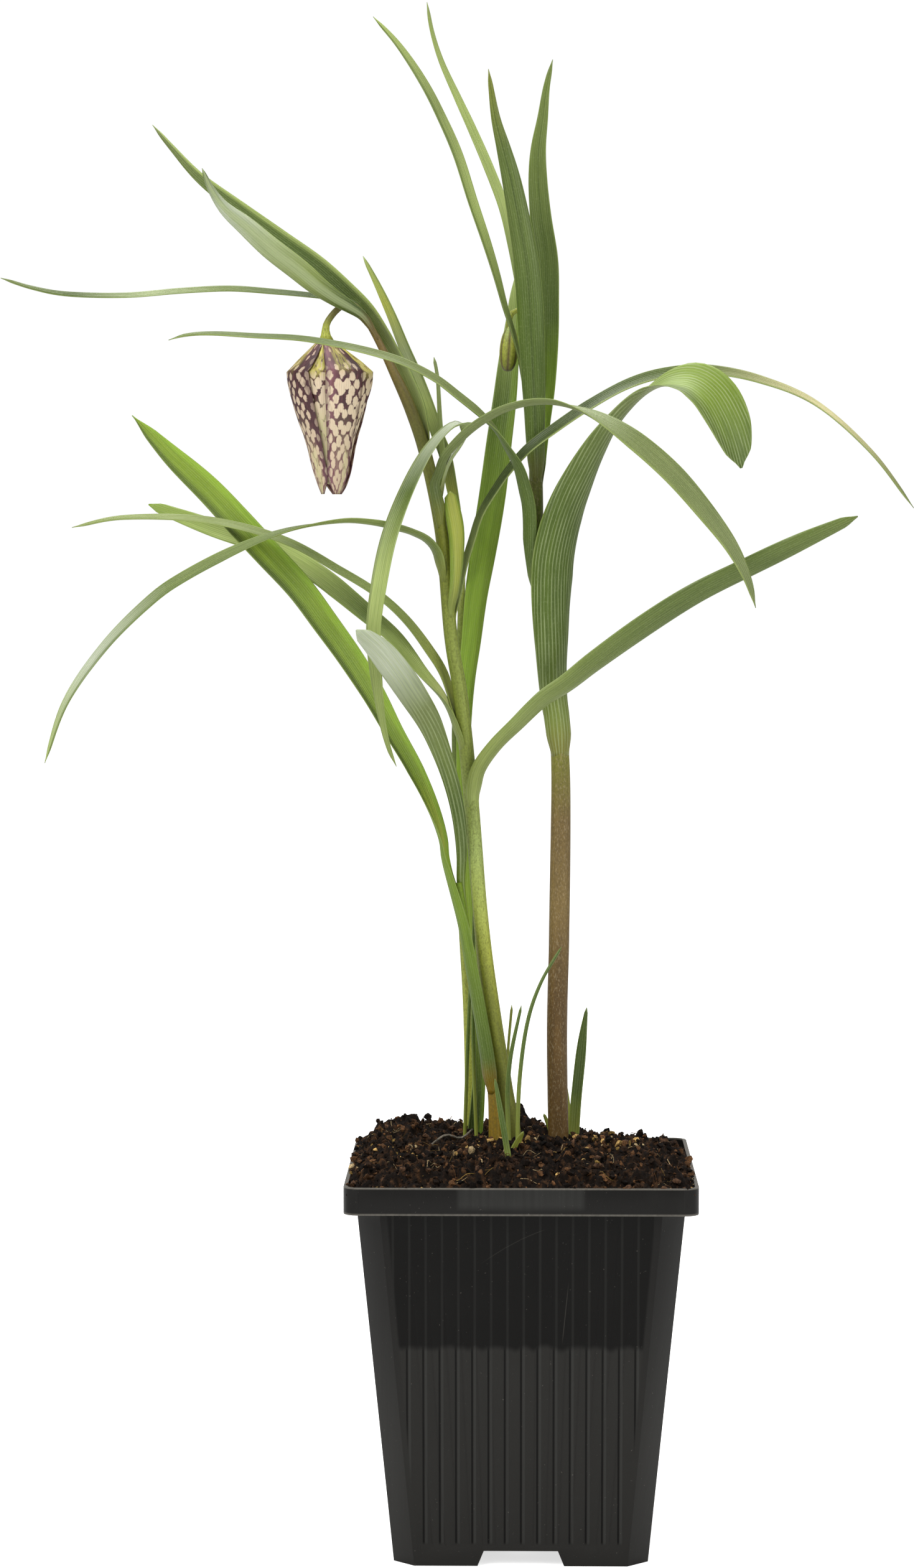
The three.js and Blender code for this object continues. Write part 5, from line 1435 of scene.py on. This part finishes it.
        faces=((-0.3, -0.9, -0.1), (-0.3, -0.9, -0.1), (-0.3, -0.9, -0.1)),
        upper=Coat(palette("YELLOW INK PALE SILVER YELLOW PALE"), left=Tone.MID, reach=0.2),
        lower=Coat(palette("YELLOW LEAF")),
    ),
    Blade(
        "leaf_basal",
        route=((-12.9, 20.4, 72), (-12.6, 20, 99.5), (-11.7, 19.6, 112), (-11.2, 19.4, 124.5),
            (-12.2, 19.2, 144.5), (-14.1, 19.2, 162), (-15, 19.4, 180), (-15.5, 19.6, 198),
            (-15.4, 19.8, 212), (-14.7, 20, 225), (-13.4, 20.4, 236), (-12.1, 20.8, 248),
            (-10.5, 21.2, 258), (-7.9, 21.8, 274), (-6, 22.4, 289), (-4.5, 23, 300.5), (-3.5, 23.4, 310.5),
            (-2.5, 24, 320), (-2, 24.5, 328.5), (-1.4, 25, 335)),
        widths=(4.6, 4.7, 3.6, 3.4, 3.4, 3.5, 4.2, 5.6, 7.2, 7, 5.4, 0.9), folds=(34, 34, 30, 26, 24),
        faces=((0, -1, 0), (0, -1, 0), (0, -1, 0)),
        upper=Coat(palette("INK INK LEAF LEAF FRESH FRESH DEEP PALE"), left=Tone.LUSH, reach=0.4),
        lower=Coat(palette("YELLOW LEAF LEAF")),
    ),
)


def shoot(number: int, width: float, tones: tuple[Tone, ...], *route: Point) -> Blade:
    """A young blade that stands in the soil.

    Args:
        number: Its number in the pot.
        width: Its width in millimetres.
        tones: Its tones from foot to tip.
        route: The points that it follows.

    Returns:
        The blade.
    """
    widths = (width * 0.8, width, width, width * 0.9, 0.7)
    faces = ((0.2, -1, 0), (0.2, -1, 0))
    coat = Coat(tones)
    return Blade(f"shoot_{number}", route, widths, (30, 26), faces, coat, coat, columns=8, slot="shoot")


GREEN_SHOOT = palette("YELLOW DEEP DEEP")
PALE_SHOOT = palette("BUFF YELLOW OLIVE")
SHOOTS = (
    shoot(1, 1.6, GREEN_SHOOT, (-2.4, -22, 94), (-3, -22, 101.5), (-4, -21, 108), (-5.4, -20, 116),
        (-6.8, -19, 124)),
    shoot(2, 1.2, GREEN_SHOOT, (-3, -8, 96), (-3.1, -7, 104), (-3.6, -6, 117), (-2.8, -6, 128),
        (0, -6, 141.5)),
    shoot(3, 0.8, PALE_SHOOT, (-4.8, 14, 97), (-4.2, 13.4, 110), (-3.6, 13, 126), (-2.5, 13, 139.5)),
    shoot(4, 1.1, GREEN_SHOOT, (-1, -9, 96), (-1, -8, 105), (-0.5, -7, 121.5), (1.5, -5, 136.5),
        (5, -3.5, 147), (10.5, -2, 156.5)),
    shoot(5, 2, PALE_SHOOT, (-3.2, -12, 97), (-2.2, -12.6, 103.5), (-1, -13, 106.5), (0.6, -13.5, 109.5)),
    shoot(6, 3, GREEN_SHOOT, (13.8, 18.6, 94), (14, 19, 103), (14.5, 19.5, 112), (15.5, 20, 122),
        (16.5, 20.5, 131), (17.5, 21, 138)),
    shoot(7, 1.4, PALE_SHOOT, (8.6, 17.2, 97), (8.2, 17, 104), (6, 16.5, 110)),
    shoot(8, 1.1, PALE_SHOOT, (13.2, 26, 96), (13.2, 26, 104), (12.8, 26, 110), (12, 26, 116.5)),
    shoot(9, 1, GREEN_SHOOT, (-11.6, 12, 96), (-12, 11.6, 106), (-12.8, 10.4, 135), (-12.6, 9.2, 165.5)),
    shoot(10, 1, GREEN_SHOOT, (-15.2, 14.4, 96), (-15, 14, 106), (-14, 13, 135), (-13, 12.4, 158.5)),
)


@dataclass
class Plant:
    """The stems and every blade on them or beside them."""

    stems: tuple[Stem, ...]
    blades: tuple[Blade, ...]
    shoots: tuple[Blade, ...]

    def build(self, bench: Bench, finishes: Finishes) -> None:
        """Makes the green parts.

        Args:
            bench: Where pieces are made.
            finishes: What they wear.
        """
        by_name = {stem.node: stem for stem in self.stems}
        for stem in self.stems:
            skin = finishes.brown if stem.slot == "stem_brown" else finishes.stem
            bench.add(stem.shape(), f"{stem.node}_skin", skin, stem.slot, [stem.node])
        tissues = {"shoot": finishes.shoot}
        for blade in (*self.blades, *self.shoots):
            tissue = tissues.get(blade.slot, finishes.veined if blade.veined else finishes.leaf)
            bench.add(blade.shape(by_name), f"{blade.node}_blade", tissue, blade.slot, [blade.node])


# Flower


@dataclass(frozen=True)
class Tepal:
    """One of the bell's six, which faces a way in degrees and is spread wider or narrower.

    Its layer is 0 for an outer tepal and 1 for an inner one. Fade is how far its chequer is lost in its
    lower half, and the last field is painted shade: how much darker one of its sides is.
    """

    node: str
    facing: float
    spread: float
    layer: int
    fade: float = 0.15
    side_shade: float = 0.0


@dataclass
class Bell:
    """The open flower: six chequered tepals that hang from the arched stalk.

    The profile holds reaches from the bell's axis and depths below its top.
    """

    COLUMNS = 18
    ROWS = 52

    top: Vector
    lean: float = 0.02
    thickness: float = 0.55
    tuck: float = 1.3
    layer_gap: float = 0.95
    top_lean: float = 0.9
    profile: tuple[tuple[float, float], ...] = (
        (1.7, 0.6), (5.1, 3.5), (8.4, 6.3), (11.3, 9.1), (11.1, 12), (10.4, 15.2), (9.5, 18.7), (8.5, 22),
        (7.3, 25.3), (6.4, 28.5), (5.7, 31.8), (4.9, 35), (3.9, 38.2), (3, 40.6),
    )
    half_widths: tuple[float, ...] = (1.2, 3, 4.6, 5.6, 5.7, 5.5, 5.1, 4.7, 4.2, 3.8, 3.5, 3.3, 2.3, 0.9)
    tepals: tuple[Tepal, ...] = (
        Tepal("tepal_outer_1", -66, 0.95, 0),
        Tepal("tepal_outer_2", 68, 1.5, 0),
        Tepal("tepal_outer_3", 198, 1.55, 0, side_shade=0.3),
        Tepal("tepal_inner_1", -8, 1.35, 1),
        Tepal("tepal_inner_2", 134, 1.2, 1),
        Tepal("tepal_inner_3", 254, 1, 1, fade=0.95),
    )

    def spot(self, row: float) -> Vector:
        """The profile's reach and depth at a row, kept inside it.

        Args:
            row: The row, counted from 0 at the stalk.

        Returns:
            The reach from the axis and the depth.
        """
        last = len(self.profile) - 1
        share = min(max(row, 0), last) / last
        return Vector([straight_along(values, share) for values in zip(*self.profile)])

    def setback(self, tepal: Tepal, row: float, share: float) -> float:
        """How far the tepal lies inside the bell's surface."""
        lower = smoothstep(4, 7, row)
        return tepal.layer * lerp(self.tuck * abs(share) ** 0.6, self.layer_gap, lower)

    def tepal_shape(self, tepal: Tepal) -> bmesh.types.BMesh:
        """A tepal's mesh: a slice of the bell, thin and pointed.

        Args:
            tepal: Which one.

        Returns:
            The mesh, which carries the marks that its finish reads.
        """
        final = len(self.profile) - 1
        last = final - tepal.layer
        widest = max(self.half_widths) * tepal.spread

        def place(across: float, along: float, side: int) -> Vector:
            """Finds a point on a face.

            Args:
                across: The share across.
                along: The share along.
                side: 1 for the outer face and -1 for the inner.

            Returns:
                The point in millimetres.
            """
            row = along * last
            out, depth = self.spot(row)
            slope = (self.spot(row + 0.5) - self.spot(row - 0.5)).normalized()
            share = 2 * across - 1
            half = tepal.spread * smooth_along(self.half_widths, row / final)
            swing = math.radians(tepal.facing) + share * half / out
            thick = self.thickness * (0.35 + 0.65 * (1 - abs(share) ** 3))
            offset = self.setback(tepal, row, share) + (0 if side > 0 else thick)
            reach = out - offset * slope.y
            drop = depth + offset * slope.x
            middle = self.top.x + self.lean * drop - self.top_lean * (1 - smoothstep(0, 9, drop))
            x, y = middle + reach * math.cos(swing), self.top.y + reach * math.sin(swing)
            return Vector((x, y, self.top.z - drop))

        def chart(across: float, along: float) -> Point:
            """The map, in centimetres."""
            return (2 * across - 1) * widest / 10, self.spot(along * last).y / 10

        marks = (self.shoulder, self.blush, self.ghost, self.dusk)
        return shell(
            self.COLUMNS, self.ROWS, place, lambda across, along, side: Tone.CREAM.light, chart,
            {"edge": margin, **{mark.__name__: partial(mark, tepal) for mark in marks}},
        )

    @staticmethod
    def shoulder(tepal: Tepal, across: float, along: float) -> float:
        """How green the tepal is: strongest by its middle near the stalk, and on the inner ones.

        Args:
            tepal: Which one.
            across: The share across.
            along: The share along.

        Returns:
            The mark, from 0 to 1.
        """
        reach, side, strength = (0.34, 0.9, 1.0) if tepal.layer else (0.27, 0.5, 0.6)
        middle = 1 - smoothstep(0.3, side, margin(across, along))
        return middle * (1 - smoothstep(0.6 * reach, reach, along)) * strength

    @staticmethod
    def blush(tepal: Tepal, across: float, along: float) -> float:
        """How pink the tepal's dark ground is: along one side of the outer ones and near the tips."""
        side = 0.0 if tepal.layer else 1 - smoothstep(0.1, 0.42, across)
        return max(0.75 * side * (1 - 0.5 * along), 0.6 * smoothstep(0.5, 0.9, along))

    @staticmethod
    def ghost(tepal: Tepal, across: float, along: float) -> float:
        """How far the chequer is lost in plain pale tissue: low on a tepal, and in a strip of the outer ones.

        Args:
            tepal: Which one.
            across: The share across.
            along: The share along.

        Returns:
            The mark, from 0 to 1.
        """
        low = smoothstep(0.42, 0.66, along) * (1 - smoothstep(0.4, 0.8, margin(across, along)))
        strip = smoothstep(0.6, 0.68, across) * (1 - smoothstep(0.8, 0.88, across))
        return max(low * tepal.fade, strip * smoothstep(0.62, 0.78, along) * 0.8 * (1 - tepal.layer))

    @staticmethod
    def dusk(tepal: Tepal, across: float, along: float) -> float:
        """How much darker and browner the chequer is: by the stalk, on a side in painted shade and at the
        outer tips.

        Args:
            tepal: Which one.
            across: The share across.
            along: The share along.

        Returns:
            The mark, from 0 to 1.
        """
        top = 1 - smoothstep(0.12, 0.32, along)
        foot = smoothstep(0.5, 0.85, along)
        # Painted shade along one side of a tepal.
        side = tepal.side_shade * smoothstep(0.15, 0.5, across)
        return max((0.85 - 0.35 * tepal.layer) * top, side, 0.35 * foot * (1 - tepal.layer))

    def build(self, bench: Bench, finishes: Finishes) -> None:
        """Makes the six tepals.

        Args:
            bench: Where pieces are made.
            finishes: What they wear.
        """
        for tepal in self.tepals:
            bench.add(self.tepal_shape(tepal), f"{tepal.node}_petal", finishes.tepal, "tepal", [tepal.node])


@dataclass
class Bud:
    """The closed bud on its bent stalk. The outline holds radii and heights from its middle."""

    COLUMNS = 36
    ROWS = 30

    centre: Vector
    lean: float = 4.0
    outline: tuple[tuple[float, float], ...] = (
        (0.05, -5.72), (1.1, -5.4), (2, -3.8), (2.45, -0.6), (2.2, 2.75), (1.5, 4.9), (0.8, 5.9), (0.3, 6.15),
    )
    stalk: Stem = Stem(
        "bud",
        route=((3.1, 9.6, 304.4), (3, 10, 309), (2.2, 10.6, 316), (0.4, 10.4, 321.4), (-1.6, 10, 322.8),
            (-3.2, 9.6, 321), (-3.5, 9.4, 317)),
        radii=(0.9, 0.7, 0.7, 0.7, 0.8),
        tones=palette("YELLOW YELLOW OLIVE"),
    )
    tones: tuple[Tone, ...] = palette("UMBER OLIVE YELLOW PALE YELLOW")

    def shape(self) -> bmesh.types.BMesh:
        """Makes the bud's mesh, with six shallow furrows where its tepals meet.

        Returns:
            The mesh.
        """
        outs = [out for out, _ in self.outline]
        heights = [height for _, height in self.outline]
        tilt = Matrix.Rotation(math.radians(self.lean), 3, "Y")

        def place(around: float, along: float) -> Vector:
            """Finds a point on the bud.

            Args:
                around: The share round.
                along: The share along.

            Returns:
                The point in millimetres.
            """
            angle = around * TURN
            furrow = 1 - 0.07 * abs(math.sin(3 * angle)) ** 6
            out = max(smooth_along(outs, along), 0.04) * furrow
            spot = Vector((out * math.cos(angle), out * math.sin(angle), smooth_along(heights, along)))
            return self.centre + tilt @ spot

        def tint(around: float, along: float) -> Vector:
            """Tints the bud, darker along its furrows.

            Args:
                around: The share round.
                along: The share along.

            Returns:
                The colour there.
            """
            stripe = abs(math.sin(3 * around * TURN)) ** 5
            ground = blend_tones(self.tones, along)
            return ground.lerp(Tone.WINE.light, 0.8 * stripe * (1 - smoothstep(0.75, 1, along)))

        return tube(self.COLUMNS, self.ROWS, place, tint, lambda around, along: (around, along * 0.12))

    def build(self, bench: Bench, finishes: Finishes) -> None:
        """Makes the bud and its stalk.

        Args:
            bench: Where pieces are made.
            finishes: What they wear.
        """
        bench.add(self.shape(), "bud_closed", finishes.bud, "bud", ["bud"])
        bench.add(self.stalk.shape(), "bud_stalk", finishes.stem, "bud")


# Soil


@dataclass(frozen=True)
class Mound:
    """A smooth rise or dip in the soil: its middle, its height and how far it reaches both ways."""

    x: float
    y: float
    rise: float
    reach_x: float
    reach_y: float

    def at(self, x: float, y: float) -> float:
        """Its height at a place."""
        return self.rise * math.exp(-((x - self.x) ** 2) / self.reach_x - ((y - self.y) ** 2) / self.reach_y)


@dataclass
class Soil:
    """The soil's surface with its crumbs, fibres and chips.

    Grains are the small lumps of the surface: how deep, how many to a millimetre and which noise.
    """

    half: float = 43.8
    level: float = 102.0
    foot: float = 93.4
    cells: int = 210
    crumbs: int = 5600
    chips: int = 450
    fibres: int = 260
    shoulder: float = 2.5
    dome: float = 2.2
    dome_reach: float = 2400.0
    mounds: tuple[Mound, ...] = (
        Mound(-0.5, 24, 7, 22, 24), Mound(-26, 30, 1.6, 260, 160), Mound(34, 38, -3.6, 420, 260),
    )
    heaps: tuple[Mound, ...] = (Mound(-33, 30, 1.8, 90, 60), Mound(-20, 4, -1.6, 70, 30))
    grains: tuple[Point, ...] = ((2.5, 0.28, 4.0), (1.6, 0.8, 9.0), (0.7, 2.1, 2.0))

    def height(self, x: float, y: float) -> float:
        """The surface without its small lumps, as in the solid, but rounded down to the rim.

        Args:
            x: Millimetres to the right of the pot's middle.
            y: Millimetres behind it.

        Returns:
            Millimetres above the pot's foot.
        """
        dome = self.dome * (1 - (x * x + y * y) / self.dome_reach)
        lumps = 0.7 * math.sin(x * 0.55 + 1.3) * math.cos(y * 0.47) + 0.45 * math.sin(x * 1.05 - y * 0.9)
        edge = self.shoulder * smoothstep(self.half - 7, self.half, max(abs(x), abs(y)))
        return self.level + dome + lumps + sum(mound.at(x, y) for mound in self.mounds) - edge

    def ground(self, x: float, y: float) -> float:
        """The finished surface's height.

        Args:
            x: Millimetres to the right of the pot's middle.
            y: Millimetres behind it.

        Returns:
            Millimetres above the pot's foot.
        """
        rough = sum(mound.at(x, y) for mound in self.heaps)
        for depth, pitch, layer in self.grains:
            rough += depth * noise.noise(Vector((x * pitch, y * pitch, layer)))
        calm = 0.5 * smoothstep(self.half - 2, self.half, max(abs(x), abs(y)))
        return self.height(x, y) + rough * (1 - calm)

    def bed(self) -> bmesh.types.BMesh:
        """Makes the surface and its sides, down into the rim.

        Returns:
            The mesh.
        """
        shape = blank()
        bmesh.ops.create_grid(shape, x_segments=self.cells, y_segments=self.cells, size=0.5)
        map_grid(shape, lambda u, v: (u, v))
        colour = shape.verts.layers.float_color["tint"]
        rim = [edge for edge in shape.edges if edge.is_boundary]
        for vert in shape.verts:
            x, y = vert.co.x * 2 * self.half, vert.co.y * 2 * self.half
            vert.co = Vector((x, y, self.ground(x, y)))
            mix = smoothstep(0.0, 0.5, noise.noise(Vector((x * 0.7, y * 0.7, 1.0))))
            vert[colour] = (*Tone.PEAT.light.lerp(Tone.LOAM.light, 0.8 * mix) * 0.7, 1)
        skirt = bmesh.ops.extrude_edge_only(shape, edges=rim)
        for item in skirt["geom"]:
            if isinstance(item, bmesh.types.BMVert):
                item.co.z = self.foot
        bmesh.ops.holes_fill(shape, edges=[edge for edge in shape.edges if edge.is_boundary], sides=0)
        bmesh.ops.recalc_face_normals(shape, faces=shape.faces[:])
        return shape

    @staticmethod
    def gathered(count: int, batch: int, grow: Callable[[bmesh.types.BMesh], None]) -> bmesh.types.BMesh:
        """Many small shapes in one mesh, grown in batches so that each stays quick.

        Args:
            count: How many shapes.
            batch: How many of them to a batch.
            grow: Adds one shape to a mesh.

        Returns:
            The mesh with all of them.
        """
        shape = blank()
        for _ in range(count // batch):
            part = blank()
            for _ in range(batch):
                grow(part)
            pour(part, shape)
        return shape

    @staticmethod
    def drawn(chance: random.Random, tones: tuple[Tone, ...], low: float, high: float) -> Vector:
        """One of the tones by chance, made darker or lighter by chance."""
        return tones[chance.randrange(len(tones))].light * chance.uniform(low, high)

    def lump(
        self,
        part: bmesh.types.BMesh,
        chance: random.Random,
        radius: float,
        flatness: float,
        tone: Vector,
        spot: tuple[float, float],
    ) -> None:
        """Adds a turned and flattened lump that lies on the surface.

        Args:
            part: The mesh that it is added to.
            chance: Where its turn and proportions come from.
            radius: Its size.
            flatness: Its thickness as a share of its width.
            tone: Its colour.
            spot: Where it lies.
        """
        x, y = spot
        stretch = Matrix.Diagonal((1, chance.uniform(0.55, 1), flatness, 1))
        axis = Vector((chance.uniform(-1, 1), chance.uniform(-1, 1), 1)).normalized()
        turn = Matrix.Rotation(chance.uniform(0, math.pi), 4, axis)
        rest = Matrix.Translation((x, y, self.ground(x, y) + radius * 0.3 * flatness))
        made = bmesh.ops.create_icosphere(part, subdivisions=1, radius=radius, matrix=rest @ turn @ stretch)
        colour = part.verts.layers.float_color["tint"]
        for vert in made["verts"]:
            vert.co += Vector([chance.uniform(-1, 1) for _ in range(3)]) * radius * 0.22
            vert[colour] = (*tone, 1)

    def crumb_field(self, chance: random.Random) -> bmesh.types.BMesh:
        """Loose dark crumbs all over, a few of them over the rim's edge.

        Args:
            chance: Where all that varies is drawn from.

        Returns:
            The mesh with all of them.
        """
        tones = palette("PEAT PEAT LOAM UMBER LOAM PEAT")
        reach = self.half + 0.4

        def grow(part: bmesh.types.BMesh) -> None:
            """Adds a crumb.

            Args:
                part: The mesh that it is added to.
            """
            radius = 0.22 + chance.random() ** 3.2
            tone = self.drawn(chance, tones, 0.15, 1.9)
            spot = (chance.uniform(-reach, reach), chance.uniform(-reach, reach))
            self.lump(part, chance, radius, chance.uniform(0.5, 0.9), tone, spot)

        return self.gathered(self.crumbs, 100, grow)

    def chip_field(self, chance: random.Random) -> bmesh.types.BMesh:
        """Pale chips of bark and dry skin, most of them in a few places.

        Args:
            chance: Where all that varies is drawn from.

        Returns:
            The mesh with all of them.
        """
        places = ((-4, -4, 9), (14, 8, 5), (28, -2, 7), (-28, -8, 16), (10, -20, 26))
        tones = palette("STRAW BUFF BARK LOAM STRAW")

        def grow(part: bmesh.types.BMesh) -> None:
            """Adds a chip.

            Args:
                part: The mesh that it is added to.
            """
            x, y, reach = places[chance.randrange(len(places))]
            spot = (self.inside(chance.gauss(x, reach)), self.inside(chance.gauss(y, reach * 0.7)))
            radius = 0.2 + 1.2 * chance.random() ** 3.6
            tone = self.drawn(chance, tones, 0.9, 1.8)
            self.lump(part, chance, radius, chance.uniform(0.35, 0.75), tone, spot)

        return self.gathered(self.chips, 30, grow)

    def inside(self, place: float) -> float:
        """The place, kept inside the pot's rim."""
        return min(max(place, -self.half), self.half)

    @staticmethod
    def strand(part: bmesh.types.BMesh, knots: Sequence[Vector], radius: float, tone: Vector) -> None:
        """Adds a thin fibre or a twig.

        Args:
            part: The mesh that it is added to.
            knots: The points that it runs through.
            radius: Its radius.
            tone: Its colour.
        """
        line = Route(knots)

        def place(around: float, along: float) -> Vector:
            """The point on the fibre."""
            return line.at(along) + radius * Vector((math.cos(around * TURN), 0.3, math.sin(around * TURN)))

        pour(tube(4, 10, place, lambda around, along: tone, lambda around, along: (around, along)), part)

    def fibre_field(self, chance: random.Random) -> bmesh.types.BMesh:
        """Thin root fibres that curl over the surface, and one grey twig.

        Args:
            chance: Where all that varies is drawn from.

        Returns:
            The mesh with all of them.
        """
        tones = palette("BARK UMBER LOAM BUFF")
        twig = ((-24, 0, 0.2), (-20, 2, 1.4), (-16, 5, 3), (-13, 8, 5))

        def grow(part: bmesh.types.BMesh) -> None:
            """Adds a fibre that wanders from a place of its own.

            Args:
                part: The mesh that it is added to.
            """
            x, y = chance.uniform(-self.half, self.half), chance.uniform(-self.half, self.half)
            heading = chance.uniform(0, TURN)
            knots = []
            for _ in range(4):
                lift = chance.uniform(-0.1, 1.1)
                knots.append(Vector((x, y, self.ground(x, y) + lift)))
                heading += chance.uniform(-0.8, 0.8)
                step = chance.uniform(0.8, 2.4)
                x = self.inside(x + step * math.cos(heading))
                y = self.inside(y + step * math.sin(heading))
            tone = self.drawn(chance, tones, 0.6, 1.5)
            self.strand(part, knots, chance.uniform(0.06, 0.12), tone)

        shape = self.gathered(self.fibres, self.fibres, grow)
        knots = [Vector((x, y, self.ground(x, y) + lift)) for x, y, lift in twig]
        self.strand(shape, knots, 0.35, Tone.TAUPE.light)
        return shape

    def build(self, bench: Bench, finishes: Finishes) -> None:
        """Makes the soil.

        Args:
            bench: Where pieces are made.
            finishes: What they wear.
        """
        bench.add(self.bed(), "soil_bed", finishes.soil, "soil", ["soil"])
        bench.add(self.crumb_field(random.Random(5)), "soil_crumbs", finishes.soil, "soil", flat=40)
        bench.add(self.chip_field(random.Random(8)), "soil_chips", finishes.soil, "soil", flat=40)
        bench.add(self.fibre_field(random.Random(3)), "soil_fibres", finishes.soil, "soil")


# Pot


@dataclass
class Pot:
    """The square black nursery pot, from its own solid with its edges softened."""

    bevel: float = 0.00035
    sharp_angle: float = 35.0
    short_edge: float = 0.004

    def build(self, bench: Bench, finishes: Finishes, solid: bpy.types.Object) -> None:
        """Makes the pot.

        Args:
            bench: Where pieces are made.
            finishes: What they wear.
            solid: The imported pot, which is copied.
        """
        shape = bmesh.new()
        shape.from_mesh(solid.data)
        bmesh.ops.remove_doubles(shape, verts=shape.verts, dist=1e-6)
        bmesh.ops.dissolve_limit(
            shape, angle_limit=math.radians(1), verts=shape.verts, edges=shape.edges,
            use_dissolve_boundaries=False,
        )
        layer = shape.loops.layers.uv.new("map")
        for face in shape.faces:
            sideways = abs(face.normal.x) > abs(face.normal.y)
            for loop in face.loops:
                spot = loop.vert.co - bench.origin
                loop[layer].uv = (spot.y if sideways else spot.x, spot.z)
        sharp = [
            edge for edge in shape.edges
            if len(edge.link_faces) == 2 and edge.calc_face_angle(0) > math.radians(self.sharp_angle)
            and edge.calc_length() > self.short_edge
        ]
        bmesh.ops.bevel(
            shape, geom=sharp, offset=self.bevel, offset_type="OFFSET", segments=3, profile=0.5,
            affect="EDGES", material=-1, clamp_overlap=True,
        )
        matrix = Matrix.Scale(1 / MM, 4) @ Matrix.Translation(-bench.origin)
        bmesh.ops.transform(shape, matrix=matrix, verts=shape.verts)
        bench.add(shape, "pot_shell", finishes.plastic, "pot_plastic", ["pot"], flat=30)


# Studio


@dataclass(frozen=True)
class Lamp:
    """A soft square light: its place from the pot and its side in metres, and its power in watts."""

    name: str
    place: Point
    side: float
    power: float


@dataclass
class Studio:
    """A pale floor, soft lights and the camera at the photograph's place."""

    lens: float = 94.51
    sensor: float = 36.0
    distance: float = 1.075
    camera_height: float = 0.2624
    pitch: float = 90 - 3.373
    yaw: float = 0.8996
    aim: float = 0.2
    floor_radius: float = 6.0
    lamps: tuple[Lamp, ...] = (
        Lamp("key", (-0.7, -0.9, 1.1), 0.8, 15),
        Lamp("fill", (0.9, -0.7, 0.7), 0.8, 6),
        Lamp("top", (0.0, 0.3, 1.3), 0.9, 12),
    )

    def build(self, pot_centre: Vector) -> None:
        """Sets up the camera, the floor and the lights.

        Args:
            pot_centre: The pot's centre line at its foot.
        """
        self.add_camera(pot_centre)
        self.add_floor()
        self.add_world()
        bpy.context.scene.view_settings.view_transform = "Standard"
        for lamp in self.lamps:
            self.add_light(lamp, pot_centre)

    def add_camera(self, pot_centre: Vector) -> None:
        """Places the camera.

        Args:
            pot_centre: The pot's centre line at its foot.
        """
        data = bpy.data.cameras.new("camera")
        data.lens = self.lens
        data.sensor_width = self.sensor
        camera = put("camera", data)
        camera.location = (pot_centre.x, pot_centre.y - self.distance, self.camera_height)
        camera.rotation_euler = (math.radians(self.pitch), 0, math.radians(self.yaw))
        bpy.context.scene.camera = camera

    def add_floor(self) -> None:
        """A wide pale floor with a painted contact shadow: it turns a little darker only right beside the
        pot's foot.
        """
        shader = Shader("floor_pale")
        seen = shader.node("ShaderNodeLightPath", {}, {}, "Is Camera Ray")
        # Painted contact shadow: ambient occlusion dims the floor's glow beside the pot.
        contact_shadow = shader.node("ShaderNodeAmbientOcclusion", {}, {"Distance": 0.02}, "AO")
        material = shader.finish(
            Base_Color=Tone.WHITE,
            Roughness=0.9,
            Emission_Color=(1, 1, 1, 1),
            Emission_Strength=seen * (contact_shadow * 0.25 + 0.75) * 0.9,
        )
        shape = bmesh.new()
        bmesh.ops.create_circle(shape, cap_ends=True, segments=96, radius=self.floor_radius)
        mesh = to_mesh(shape, "floor")
        mesh.materials.append(material)
        floor = put("floor", mesh)

    def add_world(self) -> None:
        """White surroundings, brighter where the camera looks straight at them."""
        world = bpy.data.worlds.new("studio")
        world.use_nodes = True
        tree = world.node_tree
        background = tree.nodes["Background"]
        background.inputs["Color"].default_value = (1, 1, 1, 1)
        seen = tree.nodes.new("ShaderNodeLightPath")
        strength = tree.nodes.new("ShaderNodeMapRange")
        strength.inputs["To Min"].default_value = 0.3
        strength.inputs["To Max"].default_value = 1.02
        tree.links.new(seen.outputs["Is Camera Ray"], strength.inputs["Value"])
        tree.links.new(strength.outputs["Result"], background.inputs["Strength"])
        bpy.context.scene.world = world

    def add_light(self, lamp: Lamp, pot_centre: Vector) -> None:
        """Hangs a light that faces the plant.

        Args:
            lamp: Its place, side and power.
            pot_centre: The pot's centre line at its foot.
        """
        data = bpy.data.lights.new(lamp.name, "AREA")
        data.size = lamp.side
        data.energy = lamp.power
        light = put(lamp.name, data)
        light.location = pot_centre + Vector(lamp.place)
        facing = pot_centre + Vector((0, 0, self.aim)) - light.location
        light.rotation_euler = facing.to_track_quat("-Z", "Y").to_euler()


def dress_nodes(frame: dict[str, Any], finishes: Finishes) -> None:
    """Gives the solids that stay in view their finishes.

    Args:
        frame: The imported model.
        finishes: What they wear.
    """
    worn = {"pistil": finishes.heart, "stamens": finishes.pollen}
    for name, node in frame["nodes"].items():
        material = finishes.bulb if name.startswith("bulb") else worn.get(name)
        if material:
            node.data.materials.clear()
            node.data.materials.append(material)


def main() -> None:
    """Loads the frame, then builds the plant, its pot and the studio round it."""
    logging.basicConfig(level=logging.INFO, format="%(name)s: %(message)s")
    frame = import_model()
    low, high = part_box("pot")
    pot_centre = Vector(((low.x + high.x) / 2, (low.y + high.y) / 2, low.z))
    bench = Bench(pot_centre)
    finishes = Finishes.make()
    Studio().build(pot_centre)
    Pot().build(bench, finishes, frame["nodes"]["pot"])
    Soil().build(bench, finishes)
    Plant(STEMS, BLADES, SHOOTS).build(bench, finishes)
    Bell(Vector((-49.8, -6, 315.2))).build(bench, finishes)
    Bud(Vector((-3.4, 9.2, 312.6))).build(bench, finishes)
    dress_nodes(frame, finishes)


if __name__ == "__main__":
    main()
